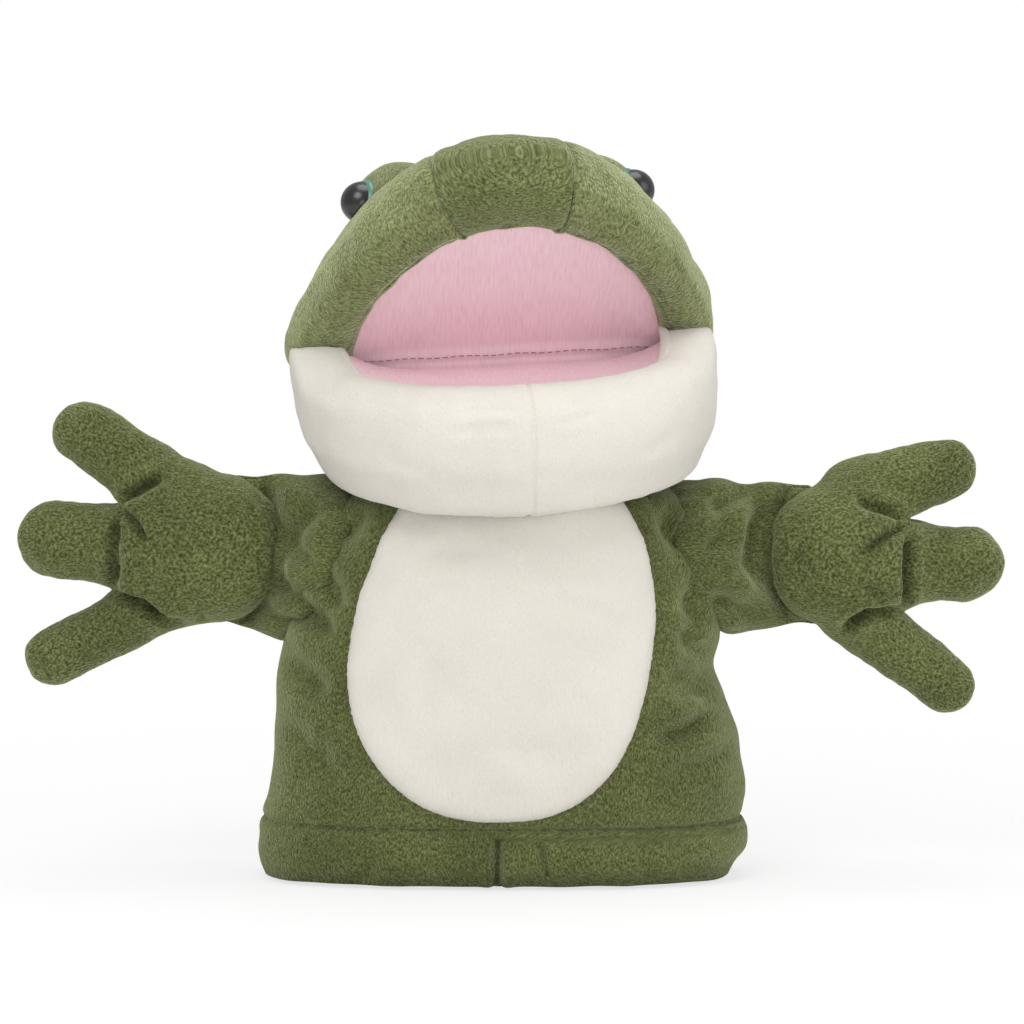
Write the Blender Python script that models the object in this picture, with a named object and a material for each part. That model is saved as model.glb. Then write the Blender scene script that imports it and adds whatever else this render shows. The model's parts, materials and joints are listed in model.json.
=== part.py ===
"""Frog hand puppet: a plush glove with a sewn mouth, floppy arms and three-fingered hands.

The puppet stands upright and faces -Y, with +Z up and its own left side at +X. The origin is the
middle of the hand opening, on the flat lower rim of the hem. Lengths here are in millimetres and
the mesh builder turns them into metres.
"""

import math

import bmesh
import bpy
from mathutils import Matrix, Vector

MM = 0.001

# ---------------------------------------------------------------- driving dimensions (mm)
CLOTH = 2.6  # plush and its backing
GAP = 0.35  # between neighbouring pieces
LINING = 1.2  # thin tricot of the pockets

# Torso: height, half width, half depth and squareness of its oval sections.
TORSO = (
    (0.0, 77.0, 33.5, 2.7),
    (12.0, 78.5, 35.5, 2.7),
    (43.0, 76.5, 37.0, 2.6),
    (76.0, 72.0, 36.5, 2.5),
    (99.0, 68.0, 35.5, 2.4),
    (113.5, 61.5, 34.5, 2.2),
    (123.5, 51.0, 34.6, 2.1),
    (129.0, 39.0, 34.6, 2.0),
    (131.0, 34.4, 34.4, 2.0),
)
HEM_TOP = 18.0
HEM_WALL = 5.0  # the plush turned up inside and stitched
BELLY_CENTRE = 77.0
BELLY_HALF_WIDTH = 49.0
BELLY_DOWN = 57.0
BELLY_UP = 66.0
BELLY_TOP = 112.0
BELLY_CLOTH = 2.0
BELLY_LIFT = 1.1  # the coarse facets of the patch stay off those of the body

# Neck: a short turned collar round the wrist.
NECK_PIVOT = Vector((0.0, 0.0, 140.5))
NECK_RADIUS = 31.0
NECK_BORE = 27.5
NECK_BOTTOM = 121.5
NECK_TOP = 137.5
NECK_CLEAR = 33.4  # the head and jaw keep outside this ball round the pivot

# The head's stance on the neck.
HEAD_YAW = math.radians(6.0)
HEAD_ROLL = math.radians(-2.8)

# Mouth: both palates fold about the hinge line.
HINGE = Vector((0.0, 4.0, 166.5))
UPPER_TILT = math.radians(45.0)
LOWER_TILT = math.radians(-10.0)
PALATE_HALF_WIDTH = 50.0
UPPER_PALATE_LENGTH = 58.0
LOWER_PALATE_LENGTH = 52.0
PALATE_DEPTH = 3.4  # the palate lies this far inside the lips
PALATE_CLOTH = 1.5
BOARD = 1.7  # the stiffener behind each palate
FOLD_RADIUS = 1.5

# Upper head: a dome over the palate plane.
HEAD_HALF_WIDTH = 66.5
HEAD_FRONT = 78.0
HEAD_REAR = 46.0
HEAD_HEIGHT = 50.0
LIP_ROUND = 9.0
CROWN_HALF_WIDTH = 18.0
POCKET_HALF_WIDTH = 45.0
POCKET_DEPTH = 17.0

# Below the dome, round the neck: height, half width and rear of each section.
GUSSET = (
    (140.5, 54.0, 40.0),
    (146.5, 59.0, 42.0),
    (154.5, 62.0, 42.0),
    (164.5, 63.0, 41.0),
)

# Lower jaw: depth below the lip, half width and forward reach of its sections.
JAW = (
    (0.0, 58.0, 62.0),
    (2.5, 63.0, 67.5),
    (7.5, 66.5, 71.5),
    (16.0, 67.5, 73.5),
    (25.0, 65.0, 72.0),
    (33.0, 57.5, 67.5),
    (39.0, 45.5, 60.5),
    (42.0, 32.0, 53.5),
)
JAW_REAR = 3.0
JAW_SQUARENESS = 2.3
CHEST_CLEAR_Y = -43.0
CHEST_CLEAR_Z = 133.5
THUMB_POCKET = (41.5, 57.5, 24.0, 14.5)  # from, to, half width, depth

# Eyes: domed safety eyes on stuffed mounds.
EYE_RADIUS = 7.0
EYE_HEIGHT = 6.2
PUPIL_RADIUS = 5.7
SHANK_RADIUS = 2.0
SHANK_LENGTH = 8.0
WASHER_RADIUS = 6.0
MOUND_RADIUS = 15.5
MOUND_PLACE = Vector((0.0, 5.0, 209.6))
EYE_FACING = Vector((0.86, -0.26, 0.44))

# Arms: pivots in the armholes, then sleeve, palm and fingers.
SHOULDER = Vector((67.0, 0.0, 102.0))
ARMHOLE_HALF_HEIGHT = 28.5
ARMHOLE_HALF_DEPTH = 19.0
SLEEVE_ROOT = 59.5
SLEEVE_HALF_HEIGHT = 22.5
SLEEVE_HALF_DEPTH = 14.5
WRIST_ROUND = 9.0
FINGER_ROUND = 7.0
# Each side: the eye mound's place from the middle, the sleeve's end, palm's centre (out, up),
# half length and half height, then for each finger its name, hinge (out, up), angle above the
# horizontal, reach and half width.
ARMS = {
    "left": {
        "sign": 1.0,
        "eye": 29.8,
        "sleeve_end": 85.0,
        "palm": (107.0, 103.0, 21.0, 23.5),
        "fingers": (
            ("upper", (122.5, 124.5), 17.0, 26.5, 10.0),
            ("middle", (131.5, 98.6), 2.0, 27.0, 12.1),
            ("lower", (118.5, 76.0), -38.0, 36.3, 9.2),
        ),
    },
    "right": {
        "sign": -1.0,
        "eye": 32.5,
        "sleeve_end": 78.0,
        "palm": (101.0, 104.5, 22.5, 24.0),
        "fingers": (
            ("upper", (117.0, 128.0), 35.0, 34.0, 9.9),
            ("middle", (125.0, 104.8), 5.5, 33.2, 12.1),
            ("lower", (115.5, 85.0), -27.0, 45.0, 9.1),
        ),
    },
}
PALM_HALF_DEPTH = 10.5

# Name: (colour, roughness)
MATERIALS = {
    "green_plush": ((0.115, 0.140, 0.048), 0.95),
    "cream_plush": ((0.770, 0.730, 0.640), 0.95),
    "pink_tricot": ((0.620, 0.330, 0.380), 0.85),
    "lining": ((0.780, 0.760, 0.720), 0.90),
    "stuffing": ((0.860, 0.860, 0.840), 1.00),
    "board": ((0.800, 0.790, 0.760), 0.80),
    "teal_plastic": ((0.100, 0.330, 0.230), 0.12),
    "black_plastic": ((0.006, 0.006, 0.008), 0.06),
    "white_plastic": ((0.800, 0.800, 0.780), 0.40),
}


# ---------------------------------------------------------------- scene and mesh helpers
def clear_scene():
    for obj in list(bpy.data.objects):
        bpy.data.objects.remove(obj)


def make_materials():
    made = {}
    for name, (colour, roughness) in MATERIALS.items():
        material = bpy.data.materials.new(name)
        material.use_nodes = True
        shader = material.node_tree.nodes["Principled BSDF"]
        shader.inputs["Base Color"].default_value = (*colour, 1.0)
        shader.inputs["Roughness"].default_value = roughness
        shader.inputs["Metallic"].default_value = 0.0
        made[name] = material
    return made


def pivot(name, place, parent=None, turn=None):
    """An empty on a joint's axis. place is in the straight pose, in millimetres."""
    empty = bpy.data.objects.new(name, None)
    bpy.context.scene.collection.objects.link(empty)
    step = place.copy()
    if parent:
        empty.parent = parent
        step -= Vector(parent["straight"])
    empty["straight"] = list(place)
    empty.matrix_local = Matrix.Translation(step * MM) @ (turn or Matrix.Identity(4))
    return empty


def solid(name, points, faces, material=None, parent=None):
    """A closed mesh from points in the straight pose, hung on its joint's empty."""
    mesh = bpy.data.meshes.new(name)
    origin = Vector(parent["straight"]) if parent else Vector((0.0, 0.0, 0.0))
    mesh.from_pydata([(Vector(p) - origin) * MM for p in points], [], faces)
    work = bmesh.new()
    work.from_mesh(mesh)
    bmesh.ops.remove_doubles(work, verts=work.verts, dist=1e-6)
    bmesh.ops.recalc_face_normals(work, faces=work.faces)
    work.to_mesh(mesh)
    work.free()
    mesh.shade_smooth()
    mesh.set_sharp_from_angle(angle=math.radians(40.0))
    obj = bpy.data.objects.new(name, mesh)
    bpy.context.scene.collection.objects.link(obj)
    if material:
        mesh.materials.append(material)
    obj.parent = parent
    return obj


def cutter(obj):
    obj.hide_render = True
    obj.display_type = "WIRE"
    return obj


def cut(obj, other, operation="DIFFERENCE"):
    modifier = obj.modifiers.new(operation.title() + "_" + other.name, "BOOLEAN")
    modifier.operation = operation
    modifier.solver = "EXACT"
    modifier.object = other
    return obj


def loft(rings):
    """Points and faces of a tube through the rings, with both ends closed."""
    count = len(rings[0])
    points = [p for ring in rings for p in ring]
    faces = [tuple(range(count))[::-1]]
    for i in range(len(rings) - 1):
        low, high = i * count, (i + 1) * count
        for j in range(count):
            k = (j + 1) % count
            faces.append((low + j, low + k, high + k, high + j))
    faces.append(tuple(range(len(points) - count, len(points))))
    return points, faces


def tube_wall(outer, inner):
    """Points and faces of a tube with a wall: outer and inner rings, joined at both ends."""
    count = len(outer[0])
    rings = list(outer) + list(reversed(inner))
    points = [p for ring in rings for p in ring]
    faces = []
    for i in range(len(rings)):
        low, high = i * count, ((i + 1) % len(rings)) * count
        for j in range(count):
            k = (j + 1) % count
            faces.append((low + j, low + k, high + k, high + j))
    return points, faces


def slab(outside, inside):
    """Points and faces of a sheet between two grids of points, closed round its edge."""
    rows, columns = len(outside), len(outside[0])
    points = [p for grid in (outside, inside) for row in grid for p in row]
    half = rows * columns

    def at(layer, i, j):
        return layer * half + i * columns + j

    faces = []
    for i in range(rows - 1):
        for j in range(columns - 1):
            top = (at(0, i, j), at(0, i, j + 1), at(0, i + 1, j + 1), at(0, i + 1, j))
            faces.append(top)
            faces.append(tuple(half + n for n in reversed(top)))
    rim = [(0, j) for j in range(columns)]
    rim += [(i, columns - 1) for i in range(1, rows)]
    rim += [(rows - 1, j) for j in range(columns - 2, -1, -1)]
    rim += [(i, 0) for i in range(rows - 2, 0, -1)]
    for n, (i, j) in enumerate(rim):
        m, k = rim[(n + 1) % len(rim)]
        faces.append((at(0, i, j), at(1, i, j), at(1, m, k), at(0, m, k)))
    return points, faces


def power(value, exponent):
    """A signed power, for superellipses."""
    return math.copysign(abs(value) ** exponent, value)


def superellipse(half_x, half_y, squareness, count, start=0.0, end=math.tau):
    """Points (x, y) round a superellipse; the last is left out of a full turn."""
    full = abs(end - start - math.tau) < 1e-6
    steps = count if full else count - 1
    places = []
    for i in range(count):
        angle = start + (end - start) * i / steps
        x = half_x * power(math.cos(angle), 2.0 / squareness)
        y = half_y * power(math.sin(angle), 2.0 / squareness)
        places.append((x, y))
    return places


def between(table, height):
    """The table's row at a height, on a smooth curve through its rows."""
    rows = [table[0], *table, table[-1]]
    for i in range(1, len(rows) - 2):
        if height <= rows[i + 1][0] or i == len(rows) - 3:
            break
    a, b, c, d = rows[i - 1 : i + 3]
    t = (height - b[0]) / (c[0] - b[0])
    out = []
    for k in range(1, len(b)):
        before = (c[k] - a[k]) / max(c[0] - a[0], 1e-6) * (c[0] - b[0])
        after = (d[k] - b[k]) / max(d[0] - b[0], 1e-6) * (c[0] - b[0])
        value = (2 * t**3 - 3 * t**2 + 1) * b[k] + (t**3 - 2 * t**2 + t) * before
        value += (3 * t**2 - 2 * t**3) * c[k] + (t**3 - t**2) * after
        out.append(value)
    return out


# ---------------------------------------------------------------- torso
def torso_point(height, angle, inset=0.0):
    """A point on the torso, or the inset cloth's inner face. Angle 0 is +X and -90 the front."""
    half_width, half_depth, squareness = between(TORSO, height)
    x = half_width * power(math.cos(angle), 2.0 / squareness)
    y = half_depth * power(math.sin(angle), 2.0 / squareness)
    if not inset:
        return Vector((x, y, height))
    step = 0.6
    here = torso_point(height, angle)
    along = torso_point(height, angle + 0.02) - torso_point(height, angle - 0.02)
    up = torso_point(min(height + step, TORSO[-1][0]), angle)
    up -= torso_point(max(height - step, 0.0), angle)
    normal = along.cross(up).normalized()
    return here - normal * inset


def body_panel(name, start, end, material, parent):
    """Front or back of the torso, from the hem to the neck seam, with half of each armhole."""
    heights = [HEM_TOP + GAP, 42.0, 62.0, 79.0, 93.0, 105.0, 114.0, 120.0, 125.0, 128.6, 131.0]
    columns = 17
    angles = [start + (end - start) * i / (columns - 1) for i in range(columns)]
    outside = [[torso_point(h, a) for a in angles] for h in heights]
    inside = [[torso_point(h, a, CLOTH) for a in angles] for h in heights]
    return solid(name, *slab(outside, inside), material, parent)


def armhole_cutter(side, parent):
    """An oval bar along X that opens both panels for a sleeve."""
    sign = ARMS[side]["sign"]
    rings = []
    for reach in (50.0, 90.0):
        oval = superellipse(ARMHOLE_HALF_DEPTH, ARMHOLE_HALF_HEIGHT, 2.0, 24)
        rings.append([Vector((sign * reach, y, SHOULDER.z + z)) for y, z in oval])
    return cutter(solid("armhole_cutter_" + side, *loft(rings), None, parent))


def belly_patch(material, parent):
    """The egg-shaped patch sewn on the front, following the torso's curve."""
    rings, columns = 5, 28

    def place(share, angle, lift):
        tall = BELLY_UP if math.sin(angle) > 0 else BELLY_DOWN
        x = share * BELLY_HALF_WIDTH * math.cos(angle)
        z = min(BELLY_CENTRE + share * tall * math.sin(angle), BELLY_TOP)
        half_width, half_depth, squareness = between(TORSO, z)
        across = max(-0.999, min(0.999, x / half_width))
        y = -half_depth * (1.0 - abs(across) ** squareness) ** (1.0 / squareness)
        out = Vector((across / half_width, y / half_depth**2, 0.0)).normalized()
        return Vector((x, y, z)) + out * lift

    points, faces = [], []
    for lift in (BELLY_LIFT + BELLY_CLOTH, BELLY_LIFT):
        points.append(place(0.0, 0.0, lift))
        for i in range(1, rings + 1):
            for j in range(columns):
                points.append(place(i / rings, math.tau * j / columns, lift))
    layer = 1 + rings * columns
    for j in range(columns):
        k = (j + 1) % columns
        faces.append((0, 1 + j, 1 + k))
        faces.append((layer, layer + 1 + k, layer + 1 + j))
        for i in range(rings - 1):
            a, b = 1 + i * columns, 1 + (i + 1) * columns
            faces.append((a + j, b + j, b + k, a + k))
            faces.append((layer + a + k, layer + b + k, layer + b + j, layer + a + j))
        rim = 1 + (rings - 1) * columns
        faces.append((rim + j, layer + rim + j, layer + rim + k, rim + k))
    return solid("belly_patch", points, faces, material, parent)


def hem_band(material, parent):
    """The folded hem: a ring with a flat lower rim round the hand opening."""
    count = 40
    angles = [math.tau * i / count for i in range(count)]
    heights = (0.0, 5.0, 12.0, HEM_TOP)
    outer = [[torso_point(h, a) for a in angles] for h in heights]
    inner = []
    for h in heights:
        ring = []
        for a in angles:
            point = torso_point(h, a, HEM_WALL)
            ring.append(Vector((point.x, point.y, h)))
        inner.append(ring)
    return solid("hem_band", *tube_wall(outer, inner), material, parent)


def neck_ring(material, parent):
    """The collar that turns in the torso's neck seam, round above to carry the head."""
    count = 36
    profile = [(NECK_RADIUS - 0.4, NECK_BOTTOM), (NECK_RADIUS - 0.4, 131.5)]
    profile.append((NECK_RADIUS - 0.15, NECK_TOP))
    outer, inner = [], []
    for radius, height in profile:
        circle = superellipse(radius, radius, 2.0, count)
        outer.append([Vector((x, y, height)) for x, y in circle])
        bore = superellipse(NECK_BORE, NECK_BORE, 2.0, count)
        inner.append([Vector((x, y, height)) for x, y in bore])
    return solid("neck_ring", *tube_wall(outer, inner), material, parent)


# ---------------------------------------------------------------- mouth frames
def tilted(tilt, across, forward, off):
    """A point from the hinge: across, forward along a palate, and off it on the far side from
    the mouth. The upper palate's far side is up and back, the lower one's is down."""
    side = 1.0 if tilt > 0 else -1.0
    ahead = Vector((0.0, -math.cos(tilt), math.sin(tilt)))
    away = Vector((0.0, math.sin(tilt), math.cos(tilt))) * side
    return HINGE + Vector((across, 0.0, 0.0)) + ahead * forward + away * off


def half_outline(half_width, length, squareness, count, start):
    """A D shape: straight at start, round at the front."""
    curve = superellipse(half_width, length - start, squareness, count, 0.0, math.pi)
    return [(x, start + y) for x, y in curve]


def full_outline(half_width, front, rear, count):
    """An oval with a longer front than rear."""
    curve = superellipse(half_width, 1.0, 2.0, count)
    return [(x, y * (front if y > 0 else rear)) for x, y in curve]


def plate(name, tilt, outline, near, far, material, parent):
    """A flat piece parallel to a palate, between two distances from its plane."""
    rings = [[tilted(tilt, x, v, off) for x, v in outline] for off in (near, far)]
    return solid(name, *loft(rings), material, parent)


# ---------------------------------------------------------------- upper head
def head_dome(name, inset, floor, parent):
    """The head's outer form, or its inside when inset, closed by a flat floor."""
    count = 40
    rounding = (LIP_ROUND - max(inset, 0.0)) / (HEAD_HALF_WIDTH - inset)
    profile = [(1.0 - rounding, floor)]
    for turn in (30.0, 60.0):
        angle = math.radians(turn)
        share = 1.0 - rounding * (1.0 - math.sin(angle))
        profile.append((share, floor + (LIP_ROUND - floor) * (1.0 - math.cos(angle))))
    start = LIP_ROUND
    top = HEAD_HEIGHT - inset
    for step in range(9):
        angle = math.radians(90.0 * step / 9.0)
        profile.append((math.cos(angle), start + (top - start) * math.sin(angle)))
    rings = []
    for share, off in profile:
        oval = full_outline(
            (HEAD_HALF_WIDTH - inset) * share,
            (HEAD_FRONT - inset) * share,
            (HEAD_REAR - inset) * share,
            count,
        )
        rings.append([tilted(UPPER_TILT, x, v, off) for x, v in oval])
    peak = tilted(UPPER_TILT, 0.0, 0.0, top)
    points, faces = loft(rings)
    faces.pop()
    last = len(points) - count
    points.append(peak)
    for j in range(count):
        faces.append((last + j, last + (j + 1) % count, len(points) - 1))
    return solid(name, points, faces, None, parent)


def box(name, low, high, parent):
    corners = [[Vector((x, y, z)) for x, y in ((low[0], low[1]), (high[0], low[1]),
               (high[0], high[1]), (low[0], high[1]))] for z in (low[2], high[2])]
    return solid(name, *loft(corners), None, parent)


def ball(name, centre, radius, parent, segments=32):
    """A closed round form, used for clearances and mounds."""
    rows = segments // 2
    rings = []
    for i in range(1, rows):
        polar = math.pi * i / rows
        circle = superellipse(radius * math.sin(polar), radius * math.sin(polar), 2.0, segments)
        rings.append([centre + Vector((x, y, -radius * math.cos(polar))) for x, y in circle])
    return solid(name, *loft(rings), None, parent)


def head_panels(materials, head):
    """The plush shell of the upper head, in a crown strip and two sides."""
    opening = cutter(
        plate(
            "mouth_opening",
            UPPER_TILT,
            half_outline(PALATE_HALF_WIDTH + GAP, UPPER_PALATE_LENGTH + GAP, 2.0, 25, -1.0),
            -6.0,
            CLOTH + 2.0,
            None,
            head,
        )
    )
    rear = [(x, -v + 2.0) for x, v in half_outline(62.0, 43.5, 2.0, 25, 0.0)]
    throat = cutter(plate("throat_opening", UPPER_TILT, rear, -6.0, CLOTH + 2.0, None, head))
    hollow = cutter(head_dome("head_hollow", CLOTH, CLOTH, head))
    reach = 120.0
    strips = {
        "crown_panel": (-CROWN_HALF_WIDTH, CROWN_HALF_WIDTH),
        "head_side_left": (CROWN_HALF_WIDTH + GAP, reach),
        "head_side_right": (-reach, -CROWN_HALF_WIDTH - GAP),
    }
    for name, (low, high) in strips.items():
        panel = head_dome(name, 0.0, 0.0, head)
        panel.data.materials.append(materials["green_plush"])
        strip = cutter(box(name + "_strip", (low, -120.0, 80.0), (high, 120.0, 300.0), head))
        cut(panel, strip, "INTERSECT")
        for tool in (hollow, opening, throat):
            cut(panel, tool)


def stadium(half_width, low, high):
    """The pocket's outline: an oval from low to high along the palate."""
    curve = superellipse(half_width, (high - low) / 2.0, 2.6, 32)
    return [(x, (high + low) / 2.0 + v) for x, v in curve]


def head_filling(materials, head, neck_ball):
    """The stuffing in the top of the shell, and the finger pocket below it."""
    low = PALATE_DEPTH + PALATE_CLOTH + BOARD + 2 * GAP + 0.6
    high = low + POCKET_DEPTH
    stuffing = head_dome("head_stuffing", CLOTH + GAP, low, head)
    stuffing.data.materials.append(materials["stuffing"])
    below = [(-90.0, -90.0), (90.0, -90.0), (90.0, 90.0), (-90.0, 90.0)]
    cut(stuffing, cutter(plate("hand_space", UPPER_TILT, below, -20.0, high + GAP, None, head)))
    cut(stuffing, neck_ball)

    outline = stadium(POCKET_HALF_WIDTH, -39.0, UPPER_PALATE_LENGTH - 2.0)
    pocket = plate("finger_pocket", UPPER_TILT, outline, low, high, materials["lining"], head)
    inner = stadium(POCKET_HALF_WIDTH - LINING, -42.0, UPPER_PALATE_LENGTH - 2.0 - LINING)
    hand = plate("finger_space", UPPER_TILT, inner, low + LINING, high - LINING, None, head)
    cut(pocket, cutter(hand))
    mouth_of_it = [(-60.0, -80.0), (60.0, -80.0), (60.0, -4.0), (-60.0, -4.0)]
    cut(pocket, cutter(plate("pocket_mouth", UPPER_TILT, mouth_of_it, -20.0, 60.0, None, head)))


def gussets(materials, head, neck_ball):
    """The sides of the head's back below the dome, one each side of the neck."""
    front = cutter(box("gusset_front", (-100.0, -100.0, 100.0), (100.0, 10.0, 200.0), head))
    above = [(-90.0, -90.0), (90.0, -90.0), (90.0, 60.0), (-90.0, 60.0)]
    over = cutter(plate("gusset_over", UPPER_TILT, above, -GAP - 0.2, 120.0, None, head))
    for side, arm in ARMS.items():
        rings = []
        for z, half_width, rear in GUSSET:
            oval = superellipse(half_width, rear, 2.2, 33, -math.pi / 2, math.pi / 2)
            rings.append([Vector((arm["sign"] * (x + 8.0 * GAP), y, z)) for x, y in oval])
        panel = solid("gusset_" + side, *loft(rings), materials["green_plush"], head)
        for tool in (front, over, neck_ball):
            cut(panel, tool)


# ---------------------------------------------------------------- lower jaw
def jaw_form(name, inset, top, parent, tail=0.0):
    """The jaw's outer form, or its inside when inset, from its lip plane down."""
    rings = []
    for off, half_width, reach in JAW:
        level = top if off == 0.0 else max(off - (inset if off > 30.0 else 0.0), top + 0.2 * off)
        outline = half_outline(half_width - inset, reach - inset, JAW_SQUARENESS, 33, JAW_REAR)
        if tail:
            ends = [(half_width - inset, JAW_REAR - tail), (inset - half_width, JAW_REAR - tail)]
            outline = [ends[0], *outline, ends[1]]
        rings.append([tilted(LOWER_TILT, x, v, level) for x, v in outline])
    return solid(name, *loft(rings), None, parent)


def jaw_rows(start, end, inset):
    """Rows of points over one half of the jaw, from the lip's inner edge down to the chin."""
    rows = []
    lip = (0.0, PALATE_HALF_WIDTH + 1.5 * GAP, LOWER_PALATE_LENGTH + 1.5 * GAP)
    for i, (off, half_width, reach) in enumerate((lip, *JAW)):
        shrink = 0.0 if i == 0 else inset
        drop = inset if i < 2 else inset * (0.9, 0.35, 0.0, -0.15, -0.45, -0.75, -1.0)[i - 2]
        row = []
        for j in range(13):
            angle = math.pi * (start + (end - start) * j / 12.0)
            x = (half_width - shrink) * power(math.cos(angle), 2.0 / JAW_SQUARENESS)
            v = math.sin(angle) ** (2.0 / JAW_SQUARENESS)
            v = JAW_REAR + (reach - shrink - JAW_REAR) * v
            row.append(tilted(LOWER_TILT, x, v, off + drop))
        rows.append(row)
    return rows


def jaw_parts(materials, jaw, neck_ball):
    """The cream jaw in two panels with a centre seam, its stuffing and the thumb pocket."""
    chest = cutter(
        box("chest_space", (-90.0, CHEST_CLEAR_Y, 60.0), (90.0, 90.0, CHEST_CLEAR_Z), jaw)
    )
    seam = 0.001
    for side, start, end in (("left", 0.0, 0.5 - seam), ("right", 0.5 + seam, 1.0)):
        outside = jaw_rows(start, end, 0.0)
        inside = jaw_rows(start, end, CLOTH)
        name = "jaw_panel_" + side
        panel = solid(name, *slab(outside, inside), materials["cream_plush"], jaw)
        cut(panel, chest)

    below = PALATE_DEPTH + PALATE_CLOTH + BOARD + 2 * GAP + 0.6
    stuffing = jaw_form("jaw_stuffing", CLOTH + 2 * GAP, below, jaw)
    stuffing.data.materials.append(materials["stuffing"])
    start, end, half_width, depth = THUMB_POCKET
    space = [(-half_width - GAP, -10.0), (half_width + GAP, -10.0)]
    space += half_outline(half_width + GAP, end + GAP, 3.0, 15, start)
    room = plate("thumb_room", LOWER_TILT, space, below - 8.0, below + depth + GAP, None, jaw)
    chest_gap = CLOTH + GAP
    behind = box(
        "chest_lining",
        (-90.0, CHEST_CLEAR_Y - chest_gap, 60.0),
        (90.0, 90.0, CHEST_CLEAR_Z + chest_gap),
        jaw,
    )
    for tool in (cutter(room), cutter(behind), neck_ball):
        cut(stuffing, tool)

    outline = half_outline(half_width, end, 3.0, 15, start)
    pocket = plate("thumb_pocket", LOWER_TILT, outline, below, below + depth, materials["lining"], jaw)
    inner = [(x, v - 3.0) for x, v in half_outline(half_width - LINING, end + 3.0 - LINING, 3.0, 15, start)]
    thumb = plate(
        "thumb_space", LOWER_TILT, inner, below + LINING, below + depth - LINING, None, jaw
    )
    cut(pocket, cutter(thumb))


# ---------------------------------------------------------------- mouth
def palates(materials, head, jaw):
    """Pink palates with a stiffener behind each, and the fold between them."""
    start = FOLD_RADIUS + 0.8
    for which, tilt, length, squareness, parent in (
        ("upper", UPPER_TILT, UPPER_PALATE_LENGTH, 2.0, head),
        ("lower", LOWER_TILT, LOWER_PALATE_LENGTH, 2.2, jaw),
    ):
        cloth = half_outline(PALATE_HALF_WIDTH, length, squareness, 25, start)
        near, far = PALATE_DEPTH, PALATE_DEPTH + PALATE_CLOTH
        plate(which + "_palate", tilt, cloth, near, far, materials["pink_tricot"], parent)
        board = half_outline(PALATE_HALF_WIDTH - 4.0, length - 4.0, squareness, 21, start + 2.0)
        near = far + GAP
        plate(which + "_palate_board", tilt, board, near, near + BOARD, materials["board"], parent)
    rings = []
    for x in (-PALATE_HALF_WIDTH + 1.0, PALATE_HALF_WIDTH - 1.0):
        circle = superellipse(FOLD_RADIUS, FOLD_RADIUS, 2.0, 12)
        rings.append([HINGE + Vector((x, y, z)) for y, z in circle])
    solid("mouth_fold", *loft(rings), materials["pink_tricot"], head)


# ---------------------------------------------------------------- eyes
def turned(name, profile, place, axis, material, parent, count=24):
    """A piece turned about an axis from (radius, along) pairs."""
    axis = axis.normalized()
    across = axis.cross(Vector((0.0, 0.0, 1.0))).normalized()
    over = axis.cross(across)
    rings = []
    for radius, along in profile:
        circle = superellipse(radius, radius, 2.0, count)
        rings.append([place + axis * along + across * x + over * y for x, y in circle])
    return solid(name, *loft(rings), material, parent)


def dome_profile(radius, height, low, high, steps):
    """Points on an eye's dome between two angles from its rim, in degrees."""
    out = []
    for i in range(steps + 1):
        angle = math.radians(low + (high - low) * i / steps)
        out.append((radius * math.cos(angle), height * math.sin(angle)))
    return out


def eye(side, materials, head, head_form, covers):
    """A stuffed mound and a safety eye: teal dome with a shank, black pupil, lock washer."""
    sign = ARMS[side]["sign"]
    place = MOUND_PLACE + Vector((sign * ARMS[side]["eye"], 0.0, 0.0))
    facing = Vector((EYE_FACING.x * sign, EYE_FACING.y, EYE_FACING.z)).normalized()
    seat = place + facing * (MOUND_RADIUS + GAP)
    mound = ball("eye_mound_" + side, place, MOUND_RADIUS, head, 24)
    mound.data.materials.append(materials["green_plush"])
    cut(mound, head_form)
    hole = [(SHANK_RADIUS + GAP, 2.0), (SHANK_RADIUS + GAP, -SHANK_LENGTH - 1.0)]
    slot_top = -4.2
    slot = [(WASHER_RADIUS + GAP, slot_top), (WASHER_RADIUS + GAP, slot_top - 1.2 - 2 * GAP)]
    rest = [(EYE_RADIUS + GAP, EYE_HEIGHT), (EYE_RADIUS + GAP, -0.5)]
    for what, profile in (("shank_hole_", hole), ("washer_slot_", slot), ("eye_rest_", rest)):
        tool = cutter(turned(what + side, profile, seat, facing, None, head))
        for around in (mound, *covers):
            cut(around, tool)

    rim = [(SHANK_RADIUS, -SHANK_LENGTH), (SHANK_RADIUS, -0.1), (EYE_RADIUS * 0.98, 0.6)]
    edge = math.degrees(math.acos(PUPIL_RADIUS / EYE_RADIUS))
    bowl = dome_profile(EYE_RADIUS, EYE_HEIGHT, 8.0, edge, 3)
    inner = [(PUPIL_RADIUS - 0.6, EYE_HEIGHT * math.sin(math.radians(edge)) - 0.7)]
    turned("eye_" + side, rim + bowl + inner, seat, facing, materials["teal_plastic"], head)
    floor = EYE_HEIGHT * math.sin(math.radians(edge))
    cap = dome_profile(EYE_RADIUS, EYE_HEIGHT, edge + 3.0, 86.0, 5)
    pupil = [(PUPIL_RADIUS - 0.9, floor - 0.3)] + cap
    turned("pupil_" + side, pupil, seat, facing, materials["black_plastic"], head)

    top = slot_top - GAP
    outer = [(WASHER_RADIUS, top - 1.2), (WASHER_RADIUS, top)]
    washer = turned("eye_washer_" + side, outer, seat, facing, materials["white_plastic"], head)
    bore = [(SHANK_RADIUS + GAP, top - 4.0), (SHANK_RADIUS + GAP, top + 4.0)]
    cut(washer, cutter(turned("washer_bore_" + side, bore, seat, facing, None, head, 16)))


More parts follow.
